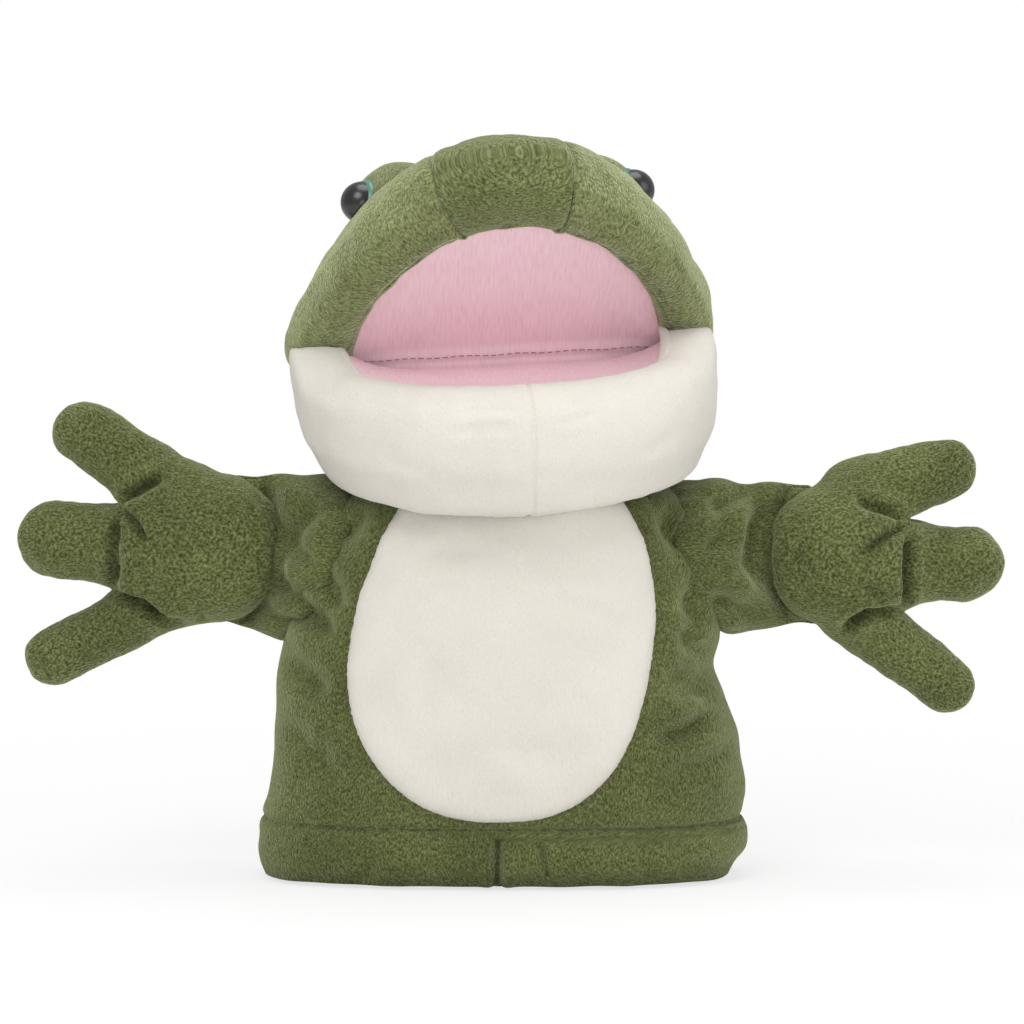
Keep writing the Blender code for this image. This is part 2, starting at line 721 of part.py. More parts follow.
# ---------------------------------------------------------------- arms
def sleeve(side, materials, parent):
    """A short stuffed sleeve from inside the armhole to the wrist."""
    arm = ARMS[side]
    end = arm["sleeve_end"]
    stations = (
        (SLEEVE_ROOT, 0.80),
        (SLEEVE_ROOT + 2.5, 0.97),
        (SHOULDER.x, 1.0),
        (end - 8.0, 0.97),
        (end - 2.0, 0.90),
        (end, 0.76),
    )
    rings = []
    for reach, share in stations:
        oval = superellipse(SLEEVE_HALF_DEPTH * share, SLEEVE_HALF_HEIGHT * share, 2.1, 24)
        rings.append([Vector((arm["sign"] * reach, y, SHOULDER.z + z)) for y, z in oval])
    return solid("sleeve_" + side, *loft(rings), materials["green_plush"], parent)


def palm(side, materials, parent):
    """A stuffed palm: a pillow, deepest in the middle and round where the wrist bends."""
    arm = ARMS[side]
    centre, height, half_length, half_height = arm["palm"]
    rings = []
    count = 11
    for i in range(count):
        angle = math.pi * (i + 0.5) / count
        along = -math.cos(angle)
        share = math.sin(angle) ** 0.62
        deep = PALM_HALF_DEPTH * (1.0 - abs(along) ** 2.3) ** 0.5
        oval = superellipse(max(deep, 1.2), half_height * share, 2.0, 20)
        reach = arm["sign"] * (centre + half_length * along)
        rings.append([Vector((reach, y, height + z)) for y, z in oval])
    return solid("palm_" + side, *loft(rings), materials["green_plush"], parent)


def finger_frame(side, place, tilt):
    """A finger's hinge point and its directions: ahead, and over along the hinge."""
    sign = ARMS[side]["sign"]
    angle = math.radians(tilt)
    ahead = Vector((sign * math.cos(angle), 0.0, math.sin(angle)))
    over = Vector((0.0, 1.0, 0.0)).cross(ahead) * sign
    return Vector((sign * place[0], 0.0, place[1])), ahead, over


def finger_socket(side, which, place, tilt, half_width, parent):
    """The room that a finger's round base turns in, open ahead."""
    hinge, ahead, over = finger_frame(side, place, tilt)
    radius = FINGER_ROUND + GAP + 0.15
    section = [(40.0, 20.0), (40.0, -20.0), (0.0, -20.0), (0.0, -radius)]
    for turn in (-60.0, -30.0, 0.0, 30.0, 60.0):
        angle = math.radians(turn)
        section.append((-radius * math.cos(angle), radius * math.sin(angle)))
    section += [(0.0, radius), (0.0, 20.0)]
    rings = []
    for reach in (-half_width - 2 * GAP, half_width + 2 * GAP):
        rings.append([hinge + over * reach + ahead * u + Vector((0.0, v, 0.0)) for u, v in section])
    return cutter(solid("socket_" + which + "_" + side, *loft(rings), None, parent))


def finger(side, which, place, tilt, reach, half_width, materials, parent):
    """A stuffed finger: its base is round about the hinge, and its tip is a soft point."""
    hinge, ahead, over = finger_frame(side, place, tilt)
    stations = []
    for turn in (-72.0, -45.0, -20.0, 0.0):
        angle = math.radians(turn)
        wide = 0.93 * (1.0 - abs(math.sin(angle)) ** 5) ** 0.5
        stations.append((FINGER_ROUND * math.sin(angle), wide, math.cos(angle)))
    stations.append((reach * 0.35, 1.0, 1.08))
    for turn in (15.0, 40.0, 62.0, 80.0):
        angle = math.radians(turn)
        along = reach - half_width + half_width * math.sin(angle)
        stations.append((along, 0.98 * math.cos(angle) ** 0.9, 1.02 * math.cos(angle) ** 0.9))
    rings = []
    for along, wide, deep in stations:
        oval = superellipse(half_width * wide, FINGER_ROUND * deep, 2.1, 16)
        rings.append([hinge + ahead * along + over * a + Vector((0.0, b, 0.0)) for a, b in oval])
    name = "finger_" + which + "_" + side
    return solid(name, *loft(rings), materials["green_plush"], parent)


# ---------------------------------------------------------------- assembly
def main():
    clear_scene()
    materials = make_materials()
    torso = pivot("torso", Vector((0.0, 0.0, 0.0)))
    neck = pivot("neck_turn", NECK_PIVOT, torso, Matrix.Rotation(HEAD_YAW, 4, "Z"))
    head = pivot("head_nod", NECK_PIVOT, neck, Matrix.Rotation(HEAD_ROLL, 4, "Y"))
    jaw = pivot("jaw_hinge", HINGE, head)

    panels = []
    for name, start, end in (
        ("body_front", -math.pi + 0.003, -0.003),
        ("body_back", 0.003, math.pi - 0.003),
    ):
        panels.append(body_panel(name, start, end, materials["green_plush"], torso))
    for side in ARMS:
        hole = armhole_cutter(side, torso)
        for panel in panels:
            cut(panel, hole)
    belly_patch(materials["cream_plush"], torso)
    hem_band(materials["green_plush"], torso)
    neck_ring(materials["green_plush"], neck)

    neck_ball = cutter(ball("neck_space", NECK_PIVOT, NECK_CLEAR, head))
    head_panels(materials, head)
    head_filling(materials, head, neck_ball)
    gussets(materials, head, neck_ball)
    jaw_parts(materials, jaw, neck_ball)
    palates(materials, head, jaw)
    head_form = cutter(head_dome("head_form", -GAP, -1.0, head))
    for side in ARMS:
        covers = (bpy.data.objects["head_side_" + side], bpy.data.objects["head_stuffing"])
        eye(side, materials, head, head_form, covers)

    for side, arm in ARMS.items():
        sign = arm["sign"]
        shoulder = pivot(
            "shoulder_" + side, Vector((sign * SHOULDER.x, SHOULDER.y, SHOULDER.z)), torso
        )
        sleeve(side, materials, shoulder)
        centre, height, half_length, _ = arm["palm"]
        wrist_x = sign * (centre - half_length + WRIST_ROUND)
        wrist = pivot("wrist_" + side, Vector((wrist_x, 0.0, height)), shoulder)
        hand = palm(side, materials, wrist)
        for which, place, tilt, reach, half_width in arm["fingers"]:
            hinge = finger_frame(side, place, tilt)[0]
            knuckle = pivot("knuckle_" + which + "_" + side, hinge, wrist)
            finger(side, which, place, tilt, reach, half_width, materials, knuckle)
            cut(hand, finger_socket(side, which, place, tilt, half_width, wrist))


main()
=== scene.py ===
"""Looks for the frog hand puppet: plush skins, belly, mouth, eyes, stuffed arms and hands.

Shapes are worked out in millimetres in the straight pose and placed with the CAD's own joints.
"""

import json
import math

import bpy
import numpy as np
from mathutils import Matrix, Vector


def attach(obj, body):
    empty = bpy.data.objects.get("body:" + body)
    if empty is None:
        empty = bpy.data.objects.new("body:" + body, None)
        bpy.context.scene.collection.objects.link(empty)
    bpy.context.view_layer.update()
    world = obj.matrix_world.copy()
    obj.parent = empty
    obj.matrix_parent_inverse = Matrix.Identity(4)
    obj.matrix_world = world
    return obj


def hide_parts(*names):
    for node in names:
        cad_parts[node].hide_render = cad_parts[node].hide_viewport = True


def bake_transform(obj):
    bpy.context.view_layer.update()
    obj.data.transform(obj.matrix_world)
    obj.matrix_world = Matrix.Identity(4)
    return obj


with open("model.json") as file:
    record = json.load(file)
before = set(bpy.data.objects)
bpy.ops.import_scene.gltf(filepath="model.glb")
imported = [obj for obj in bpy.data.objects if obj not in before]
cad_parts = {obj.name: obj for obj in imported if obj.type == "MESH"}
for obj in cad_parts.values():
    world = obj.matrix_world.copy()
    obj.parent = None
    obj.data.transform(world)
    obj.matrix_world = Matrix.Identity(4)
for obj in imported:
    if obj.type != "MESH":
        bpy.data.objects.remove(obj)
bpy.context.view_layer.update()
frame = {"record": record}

MM = 0.001
RECORD = frame["record"]
JOINTS = {joint["name"]: joint for joint in RECORD["behaviour"]["joints"]}


# ---------------------------------------------------------------- the head's frame, from the joints
def millimetres(point):
    return np.array(point, float) / MM


NECK = millimetres(JOINTS["neck_turn"]["pos_m"])
NOD_AXIS = np.array(JOINTS["head_nod"]["axis"], float)
HEAD_X = -np.array(JOINTS["jaw_close"]["axis"], float)
HEAD_Y = np.array([-NOD_AXIS[1], NOD_AXIS[0], 0.0])
HEAD_TURN = np.stack([HEAD_X, HEAD_Y, np.cross(HEAD_X, HEAD_Y)], axis=1)
HINGE = NECK + (millimetres(JOINTS["jaw_close"]["pos_m"]) - NECK) @ HEAD_TURN
UPPER_TILT = math.radians(45.0)
LOWER_TILT = math.radians(-10.0)


def head_place(points):
    """From the head's straight pose to the row frame."""
    return NECK + (np.asarray(points, float) - NECK) @ HEAD_TURN.T


def in_mouth(tilt, x, v, w):
    """Points from the hinge: across, forward along a palate, and off it, away from the mouth."""
    side = 1.0 if tilt > 0 else -1.0
    x, v, w = np.broadcast_arrays(np.asarray(x, float), v, w)
    y = HINGE[1] - v * math.cos(tilt) + side * w * math.sin(tilt)
    z = HINGE[2] + v * math.sin(tilt) + side * w * math.cos(tilt)
    return np.stack([x + HINGE[0], y, z], axis=-1)


# ---------------------------------------------------------------- numbers and curves
def smooth(value, low, high):
    t = np.clip((value - low) / (high - low), 0.0, 1.0)
    return t * t * (3.0 - 2.0 * t)


def through(places, rows, at):
    """Smooth values through the rows at the given places, column by column."""
    places = np.asarray(places, float)
    rows = np.asarray(rows, float)
    if rows.ndim == 1:
        rows = rows[:, None]
    slopes = np.zeros_like(rows)
    step = np.diff(places)[:, None]
    rise = np.diff(rows, axis=0) / step
    slopes[1:-1] = (rise[:-1] * step[1:] + rise[1:] * step[:-1]) / (step[1:] + step[:-1])
    slopes[0], slopes[-1] = rise[0], rise[-1]
    at = np.asarray(at, float)
    i = np.clip(np.searchsorted(places, at, side="right") - 1, 0, len(places) - 2)
    width = (places[i + 1] - places[i])[..., None]
    t = ((at - places[i])[..., None] / width).clip(0.0, 1.0)
    out = (2 * t**3 - 3 * t**2 + 1) * rows[i] + (t**3 - 2 * t**2 + t) * slopes[i] * width
    out += (3 * t**2 - 2 * t**3) * rows[i + 1] + (t**3 - t**2) * slopes[i + 1] * width
    return out[..., 0] if out.shape[-1] == 1 else out


def rows_at(rows, at):
    """Smooth values of a table at places in its first column."""
    return through([row[0] for row in rows], [row[1:] for row in rows], at)


def curve(start, middle, end, t):
    """A quadratic curve from start to end, drawn towards the middle point."""
    return (1 - t) ** 2 * start + 2 * t * (1 - t) * middle + t**2 * end


def power(value, exponent):
    return np.sign(value) * np.abs(value) ** exponent


def bell(value, width):
    """A smooth hump: 1 at zero, and little left past twice the width."""
    return np.exp(-((value / width) ** 2))


def waves(points, seed, size, count=7):
    """A soft bumpy field over points, from a few seeded sine waves of about the given size."""
    rng = np.random.default_rng(seed)
    total = np.zeros(points.shape[:-1])
    for _ in range(count):
        direction = rng.normal(size=3)
        direction /= np.linalg.norm(direction)
        length = size * rng.uniform(0.7, 1.6)
        phase = rng.uniform(0.0, math.tau)
        total += np.sin(points @ direction * (math.tau / length) + phase)
    return total / math.sqrt(count)


def grid_normals(points, closed):
    """Unit normals of a grid of points; columns wrap when closed."""
    if closed:
        across = np.roll(points, -1, axis=1) - np.roll(points, 1, axis=1)
    else:
        across = np.gradient(points, axis=1)
    along = np.gradient(points, axis=0)
    normal = np.cross(across, along)
    length = np.linalg.norm(normal, axis=-1, keepdims=True)
    return normal / np.maximum(length, 1e-9)


def turned_outward(normals, out):
    """The normals, flipped where they point against the outward directions."""
    return normals * np.sign((normals * out).sum(-1, keepdims=True))


def to_line(a, b, start, end):
    """Distance in the plane from points (a, b) to a line piece, and the share along it."""
    start, end = np.asarray(start, float), np.asarray(end, float)
    step = end - start
    t = ((a - start[0]) * step[0] + (b - start[1]) * step[1]) / (step @ step)
    t = t.clip(0.0, 1.0)
    return np.hypot(a - start[0] - t * step[0], b - start[1] - t * step[1]), t


def crease(a, b, path, depth, width, fade=0.35):
    """A fold along a path in the plane: a groove with a soft roll on each side of it."""
    gap = np.full(np.broadcast(a, b).shape, 1e9)
    share = np.zeros(gap.shape)
    count = len(path) - 1
    for i in range(count):
        off, t = to_line(a, b, path[i], path[i + 1])
        share = np.where(off < gap, (i + t) / count, share)
        gap = np.minimum(off, gap)
    ends = smooth(share, -0.01, fade) * (1.0 - smooth(share, 1.0 - fade, 1.01))
    groove = bell(gap, width)
    roll = 0.35 * bell(gap - 2.0 * width, 1.4 * width)
    return depth * ends * (roll - groove)


def creases(a, b, folds, deepen=1.0, fade=0.35):
    """Several folds together, each a path with its depth and width."""
    return sum(crease(a, b, path, deepen * depth, width, fade) for path, depth, width in folds)


# ---------------------------------------------------------------- materials
def node(tree, kind, **values):
    made = tree.nodes.new(kind)
    for key, value in values.items():
        if key in made.inputs:
            made.inputs[key].default_value = value
        else:
            setattr(made, key, value)
    return made


def noise_of(tree, vector, scale, detail=2.0, roughness=0.5, stretch=(1.0, 1.0, 1.0), turn=0.0):
    """A noise over a vector whose axes are stretched apart, for streaks."""
    mapping = node(tree, "ShaderNodeMapping")
    mapping.inputs["Scale"].default_value = stretch
    mapping.inputs["Rotation"].default_value = (0.0, 0.0, turn)
    tree.links.new(vector, mapping.inputs["Vector"])
    noise = node(tree, "ShaderNodeTexNoise", Scale=scale, Detail=detail, Roughness=roughness)
    tree.links.new(mapping.outputs["Vector"], noise.inputs["Vector"])
    return noise.outputs["Fac"]


def ramp_of(tree, factor, stops):
    """A colour ramp from (place, colour) pairs."""
    ramp = node(tree, "ShaderNodeValToRGB")
    elements = ramp.color_ramp.elements
    while len(elements) < len(stops):
        elements.new(0.5)
    for element, (place, colour) in zip(elements, stops):
        element.position = place
        element.color = (*colour, 1.0)
    tree.links.new(factor, ramp.inputs["Fac"])
    return ramp.outputs["Color"]


def mixed(tree, kind, a, b, factor):
    mix = node(tree, "ShaderNodeMix", data_type="RGBA", blend_type=kind)
    for value, place in ((factor, 0), (a, 6), (b, 7)):
        if isinstance(value, (float, tuple)):
            mix.inputs[place].default_value = value
        else:
            tree.links.new(value, mix.inputs[place])
    return mix.outputs[2]


def bumped(tree, heights):
    """A chain of bumps from (height, strength, distance in metres)."""
    last = None
    for height, strength, distance in heights:
        bump = node(tree, "ShaderNodeBump", Strength=strength, Distance=distance)
        tree.links.new(height, bump.inputs["Height"])
        if last:
            tree.links.new(last, bump.inputs["Normal"])
        last = bump.outputs["Normal"]
    return last


def start_material(name, roughness):
    material = bpy.data.materials.new(name)
    material.use_nodes = True
    tree = material.node_tree
    shader = tree.nodes["Principled BSDF"]
    shader.inputs["Roughness"].default_value = roughness
    return material, tree, shader


def plush(name, dark, mid, light, sheen, tint, contrast=1.0, cloudy=0.6, crease_shade=0.42, edged=False):
    """Short brushed pile, darkened by painted shade in its creases and between parts, and on edged
    lips by painted shade towards the palate. UV is in metres, with V along the lie of the pile.
    """
    material, tree, shader = start_material(name, 0.95)
    shader.inputs["Specular IOR Level"].default_value = 0.08
    shader.inputs["Sheen Weight"].default_value = sheen
    shader.inputs["Sheen Roughness"].default_value = 0.38
    shader.inputs["Sheen Tint"].default_value = (*tint, 1.0)
    place = node(tree, "ShaderNodeTexCoord")
    bend = node(tree, "ShaderNodeTexNoise", Scale=300.0, Detail=1.0)
    tree.links.new(place.outputs["UV"], bend.inputs["Vector"])
    bent = node(tree, "ShaderNodeVectorMath", operation="MULTIPLY_ADD")
    tree.links.new(bend.outputs["Color"], bent.inputs[0])
    bent.inputs[1].default_value = (0.0011, 0.0011, 0.0)
    tree.links.new(place.outputs["UV"], bent.inputs[2])
    lie = bent.outputs["Vector"]
    streaks = noise_of(tree, lie, 1.0, 2.0, 0.6, (1900.0, 950.0, 1.0))
    tufts = noise_of(tree, lie, 1.0, 1.0, 0.5, (800.0, 380.0, 1.0), 0.12)
    fibres = noise_of(tree, lie, 1.0, 1.0, 0.5, (5200.0, 2400.0, 1.0))
    clouds = noise_of(tree, place.outputs["Object"], 46.0, 3.0, 0.6)
    brushed = noise_of(tree, place.outputs["Object"], 21.0, 2.0, 0.5, (1.0, 1.0, 1.8))
    soft = 0.125 / contrast
    pile = ramp_of(tree, streaks, ((0.5 - soft, dark), (0.5, mid), (0.5 + soft, light)))
    patch = ramp_of(tree, tufts, ((0.5 - soft, dark), (0.5, mid), (0.5 + soft, light)))
    colour = mixed(tree, "MIX", pile, patch, 0.22)
    shade = ramp_of(tree, clouds, ((0.34, (0.72,) * 3), (0.62, (1.0,) * 3)))
    colour = mixed(tree, "MULTIPLY", colour, shade, cloudy)
    shade = ramp_of(tree, brushed, ((0.40, (0.78,) * 3), (0.58, (1.0,) * 3)))
    colour = mixed(tree, "MULTIPLY", colour, shade, cloudy)
    if edged:
        colour = lip_shade_and_fringe(tree, colour)
    # Painted shade: ambient occlusion darkens the pile in creases, hollows and between parts.
    crease_occlusion = node(tree, "ShaderNodeAmbientOcclusion", samples=6, Distance=0.009)
    depth = ramp_of(tree, crease_occlusion.outputs["AO"], ((0.15, (crease_shade,) * 3), (0.85, (1.0,) * 3)))
    colour = mixed(tree, "MULTIPLY", colour, depth, 1.0)
    tree.links.new(colour, shader.inputs["Base Color"])
    heights = ((tufts, 0.5, 0.0009), (streaks, 1.0, 0.00075), (fibres, 0.5, 0.0002))
    heights = tuple((height, strength * contrast, size) for height, strength, size in heights)
    tree.links.new(bumped(tree, heights), shader.inputs["Normal"])
    return material


def lip_shade_and_fringe(tree, colour):
    """Painted shade: darkens the pile towards the palate, where the lip rolls under, with a thin
    straw-coloured fringe where it ends.
    """
    edge = node(tree, "ShaderNodeAttribute", attribute_name="edge")
    stops = ((0.02, (0.72, 0.70, 0.62)), (0.45, (0.86,) * 3), (0.9, (1.0,) * 3))
    shade = ramp_of(tree, edge.outputs["Fac"], stops)
    darker = mixed(tree, "MULTIPLY", colour, shade, 1.0)
    fringe = ramp_of(tree, edge.outputs["Fac"], ((0.0, (1.0,) * 3), (0.10, (0.0,) * 3)))
    return mixed(tree, "MIX", darker, (0.235, 0.200, 0.085, 1.0), fringe)


def knit(name, dark, mid, light):
    """Brushed tricot with fine upright ribs."""
    material, tree, shader = start_material(name, 0.72)
    shader.inputs["Specular IOR Level"].default_value = 0.22
    shader.inputs["Sheen Weight"].default_value = 0.22
    shader.inputs["Sheen Roughness"].default_value = 0.5
    shader.inputs["Sheen Tint"].default_value = (1.0, 0.86, 0.90, 1.0)
    place = node(tree, "ShaderNodeTexCoord")
    ribs = noise_of(tree, place.outputs["UV"], 1.0, 2.0, 0.5, (1500.0, 150.0, 1.0))
    broad = noise_of(tree, place.outputs["UV"], 1.0, 2.0, 0.5, (190.0, 22.0, 1.0))
    loops = noise_of(tree, place.outputs["UV"], 1.0, 1.0, 0.5, (2400.0, 1900.0, 1.0))
    fine = ramp_of(tree, ribs, ((0.30, dark), (0.52, mid), (0.75, light)))
    wide = ramp_of(tree, broad, ((0.20, dark), (0.50, mid), (0.85, light)))
    tree.links.new(mixed(tree, "MIX", fine, wide, 0.30), shader.inputs["Base Color"])
    heights = ((ribs, 0.30, 0.00035), (loops, 0.22, 0.00012))
    tree.links.new(bumped(tree, heights), shader.inputs["Normal"])
    return material


def plastic(name, colour, roughness, coat):
    """Moulded plastic with faint flow marks and handling haze."""
    material, tree, shader = start_material(name, roughness)
    shader.inputs["Coat Weight"].default_value = coat
    shader.inputs["Coat Roughness"].default_value = 0.20
    place = node(tree, "ShaderNodeTexCoord")
    haze = noise_of(tree, place.outputs["Object"], 260.0, 3.0, 0.6)
    lighter = tuple(min(1.0, c * 1.25 + 0.004) for c in colour)
    shade = ramp_of(tree, haze, ((0.35, colour), (0.7, lighter)))
    tree.links.new(shade, shader.inputs["Base Color"])
    tree.links.new(bumped(tree, ((haze, 0.04, 0.0001),)), shader.inputs["Normal"])
    return material


def thread(name, colour):
    """Twisted sewing thread."""
    material, tree, shader = start_material(name, 0.6)
    place = node(tree, "ShaderNodeTexCoord")
    twist = noise_of(tree, place.outputs["Object"], 2600.0, 1.0)
    darker = tuple(c * 0.6 for c in colour)
    shade = ramp_of(tree, twist, ((0.4, darker), (0.6, colour)))
    tree.links.new(shade, shader.inputs["Base Color"])
    tree.links.new(bumped(tree, ((twist, 0.5, 0.0002),)), shader.inputs["Normal"])
    return material


# Each pile: dark, middle and light colour, then its sheen and the sheen's tint.
GREEN = plush(
    "green_pile",
    (0.046, 0.054, 0.016), (0.112, 0.130, 0.044), (0.215, 0.240, 0.100),
    0.60, (0.86, 0.95, 0.55),
)
# Painted light and shade: the head's green is a lighter copy of the body's green where the head is
# lit, and the crown's green is a copy between them, less lit than the lip sides.
LIT_HEAD_GREEN = plush(
    "lit_head_green_pile",
    (0.096, 0.109, 0.038), (0.202, 0.225, 0.088), (0.330, 0.360, 0.165),
    0.85, (0.90, 0.97, 0.62), edged=True,
)
HALF_LIT_CROWN_GREEN = plush(
    "half_lit_crown_green_pile",
    (0.066, 0.075, 0.025), (0.154, 0.174, 0.064), (0.275, 0.302, 0.132),
    0.65, (0.88, 0.96, 0.60), edged=True,
)
CREAM = plush(
    "cream_pile",
    (0.658, 0.618, 0.550), (0.707, 0.670, 0.608), (0.747, 0.713, 0.656),
    0.20, (1.0, 0.97, 0.92), contrast=0.40, cloudy=0.10, crease_shade=0.80,
)
PINK = knit("pink_knit", (0.790, 0.540, 0.600), (0.860, 0.620, 0.675), (0.905, 0.685, 0.735))
BLACK = plastic("black_eye", (0.008, 0.008, 0.010), 0.28, 0.3)
TEAL = plastic("teal_eye", (0.070, 0.190, 0.135), 0.30, 0.3)
PINK_THREAD = thread("pink_thread", (0.600, 0.270, 0.340))


# ---------------------------------------------------------------- mesh makers
def mesh_object(name, points, faces, material, uv=None):
    """A smooth mesh object from points in millimetres.

    uv holds one pair for each point or for each corner, in metres.
    """
    mesh = bpy.data.meshes.new(name)
    mesh.from_pydata((np.asarray(points, float) * MM).tolist(), [], np.asarray(faces).tolist())
    mesh.validate()
    if uv is not None:
        layer = mesh.uv_layers.new(name="lie")
        if len(uv) != len(mesh.loops):
            corner = np.empty(len(mesh.loops), np.int32)
            mesh.loops.foreach_get("vertex_index", corner)
            uv = np.asarray(uv)[corner]
        layer.data.foreach_set("uv", np.asarray(uv, np.float32).ravel())
    mesh.shade_smooth()
    mesh.materials.append(material)
    obj = bpy.data.objects.new(name, mesh)
    bpy.context.scene.collection.objects.link(obj)
    return obj


def grid_faces(rows, columns, closed):
    i = np.arange(rows - 1)[:, None]
    j = np.arange(columns if closed else columns - 1)[None, :]
    k = (j + 1) % columns
    quads = [i * columns + j, i * columns + k, (i + 1) * columns + k, (i + 1) * columns + j]
    return np.stack([np.broadcast_to(q, (rows - 1, j.shape[1])) for q in quads], -1).reshape(-1, 4)


def grid_object(name, points, closed, material, flip=False, uv=None):
    """A sheet from a grid of points in millimetres, with UV in metres along its rows."""
    rows, columns = points.shape[:2]
    if uv is None:
        across = np.linalg.norm(np.diff(points, axis=1), axis=-1)
        across = np.concatenate([np.zeros((rows, 1)), np.cumsum(across, axis=1)], axis=1)
        across -= across.mean(axis=1, keepdims=True)
        along = np.linalg.norm(np.diff(points, axis=0), axis=-1)
        along = np.concatenate([np.zeros((1, columns)), np.cumsum(along, axis=0)], axis=0)
        uv = np.stack([across, along], axis=-1) * MM
    faces = grid_faces(rows, columns, closed)
    if flip:
        faces = faces[:, ::-1]
    uv = uv.reshape(-1, 2)[faces]
    if closed:
        round_it = uv[..., 0].max() - uv[..., 0].min()
        wrapped = np.ptp(uv[..., 0], axis=1) > 0.5 * round_it
        uv[..., 0] += np.where(wrapped[:, None] & (uv[..., 0] < uv[..., 0].mean()), round_it, 0.0)
    return mesh_object(name, points.reshape(-1, 3), faces, material, uv.reshape(-1, 2))


def thicken(obj, thickness, offset=-1.0):
    """Gives a sheet its cloth's thickness, in millimetres, and applies it."""
    modifier = obj.modifiers.new("cloth", "SOLIDIFY")
    modifier.thickness = thickness * MM
    modifier.offset = offset
    graph = bpy.context.evaluated_depsgraph_get()
    mesh = bpy.data.meshes.new_from_object(obj.evaluated_get(graph))
    obj.modifiers.clear()
    obj.data = mesh
    return obj


def tube_along(name, path, radius, material, sides=6):
    """A thin round strand along points in millimetres."""
    path = np.asarray(path, float)
    ahead = np.gradient(path, axis=0)
    ahead /= np.linalg.norm(ahead, axis=1, keepdims=True)
    upright = np.abs(ahead[:, 2:]) > 0.9
    other = np.where(upright, np.array([[1.0, 0.0, 0.0]]), np.array([[0.0, 0.0, 1.0]]))
    a = np.cross(ahead, other)
    a /= np.linalg.norm(a, axis=1, keepdims=True)
    b = np.cross(ahead, a)
    turn = np.arange(sides) * math.tau / sides
    ring = np.cos(turn)[None, :, None] * a[:, None, :] + np.sin(turn)[None, :, None] * b[:, None, :]
    points = path[:, None, :] + radius * ring
    return grid_object(name, points, True, material)


def joined(objects, name):
    """Several objects made one mesh object."""
    points, faces, uvs, start = [], [], [], 0
    for obj in objects:
        mesh = obj.data
        co = np.empty(len(mesh.vertices) * 3)
        mesh.vertices.foreach_get("co", co)
        points.append(co.reshape(-1, 3) / MM)
        faces.extend([[v + start for v in face.vertices] for face in mesh.polygons])
        start += len(mesh.vertices)
    made = mesh_object(name, np.concatenate(points), faces, objects[0].data.materials[0])
    for obj in objects:
        bpy.data.objects.remove(obj)
    return made


def stitches(name, path, length, gap, radius, material):
    """A row of separate stitches along a path, each a small strand that dips at its ends."""
    path = np.asarray(path, float)
    step = np.linalg.norm(np.diff(path, axis=0), axis=1)
    run = np.concatenate([[0.0], np.cumsum(step)])
    count = int(run[-1] / (length + gap))
    made = []
    for i in range(count):
        at = i * (length + gap) + np.linspace(0.0, length, 5)
        points = np.stack([np.interp(at, run, path[:, k]) for k in range(3)], axis=-1)
        made.append(tube_along("stitch", points, radius, material, 5))
    return joined(made, name)


# ---------------------------------------------------------------- torso
# Rows: height, half width on the puppet's right (-X), on its left (+X), half depth, squareness.
TORSO_ROWS = (
    (0.0, 79.0, 69.5, 34.0, 2.7),
    (4.0, 80.6, 71.5, 35.6, 2.7),
    (8.5, 81.6, 75.0, 36.4, 2.7),
    (13.0, 81.2, 75.6, 36.5, 2.7),
    (18.2, 80.0, 73.6, 36.4, 2.7),
    (26.0, 77.9, 74.6, 37.0, 2.6),
    (43.0, 76.0, 73.2, 37.8, 2.6),
    (56.0, 75.0, 69.0, 37.6, 2.55),
    (67.0, 74.3, 65.0, 37.2, 2.5),
    (76.0, 72.0, 66.5, 36.8, 2.5),
    (99.0, 66.5, 65.0, 35.8, 2.4),
    (113.5, 60.5, 60.0, 35.0, 2.25),
    (122.0, 54.0, 54.0, 34.6, 2.1),
    (128.0, 42.0, 42.0, 34.4, 2.0),
    (131.0, 34.6, 34.6, 34.4, 2.0),
)
HEM_STITCH = 18.2
# How much deeper the lists of folds are pressed than they say.
FRONT_DEEPER, HEM_DEEPER, BELLY_DEEPER = 1.6, 1.7, 1.5
SLEEVE_DEEPER, HAND_DEEPER = 1.4, 1.4
# Folds: a path across and up, then depth and width.
FRONT_FOLDS = (
    (((42.0, 45.0), (54.0, 48.5), (66.0, 55.0)), 2.8, 4.0),
    (((46.0, 66.0), (56.0, 65.0), (68.0, 64.0)), 2.6, 3.8),
    (((52.0, 82.0), (57.0, 74.0), (66.0, 70.0)), 2.4, 3.4),
    (((48.0, 58.0), (57.0, 60.0), (66.0, 59.0)), 2.0, 2.8),
    (((46.0, 34.0), (58.0, 38.0), (72.0, 42.0)), 1.8, 4.2),
    (((58.0, 96.0), (56.0, 88.0), (60.0, 80.0)), 1.8, 3.2),
    (((-70.0, 88.0), (-62.0, 84.0), (-55.5, 77.0)), 2.6, 3.4),
    (((-74.0, 70.0), (-65.0, 66.0), (-57.0, 58.0)), 2.2, 3.8),
    (((-62.0, 100.0), (-56.0, 92.0), (-55.0, 84.0)), 2.2, 3.4),
    (((-74.0, 50.0), (-64.0, 43.0), (-54.0, 41.0)), 1.8, 4.6),
    (((-72.0, 32.0), (-60.0, 36.0), (-50.0, 33.0)), 1.2, 4.0),
    (((-46.0, 121.0), (-50.0, 113.0), (-56.0, 108.0)), 1.8, 3.0),
    (((46.0, 119.0), (50.0, 110.0), (56.0, 104.0)), 2.0, 3.0),
)
HEM_FOLDS = (
    (((-4.4, 16.5), (-4.4, 8.0), (-4.6, -1.0)), 1.9, 1.5),
    (((8.6, 15.0), (10.0, 8.0), (11.8, 2.0)), 1.0, 1.3),
    (((-46.0, 15.0), (-44.0, 8.0), (-45.0, 1.0)), 0.5, 2.6),
    (((40.0, 15.0), (41.0, 8.0), (43.0, 1.0)), 0.6, 2.4),
)
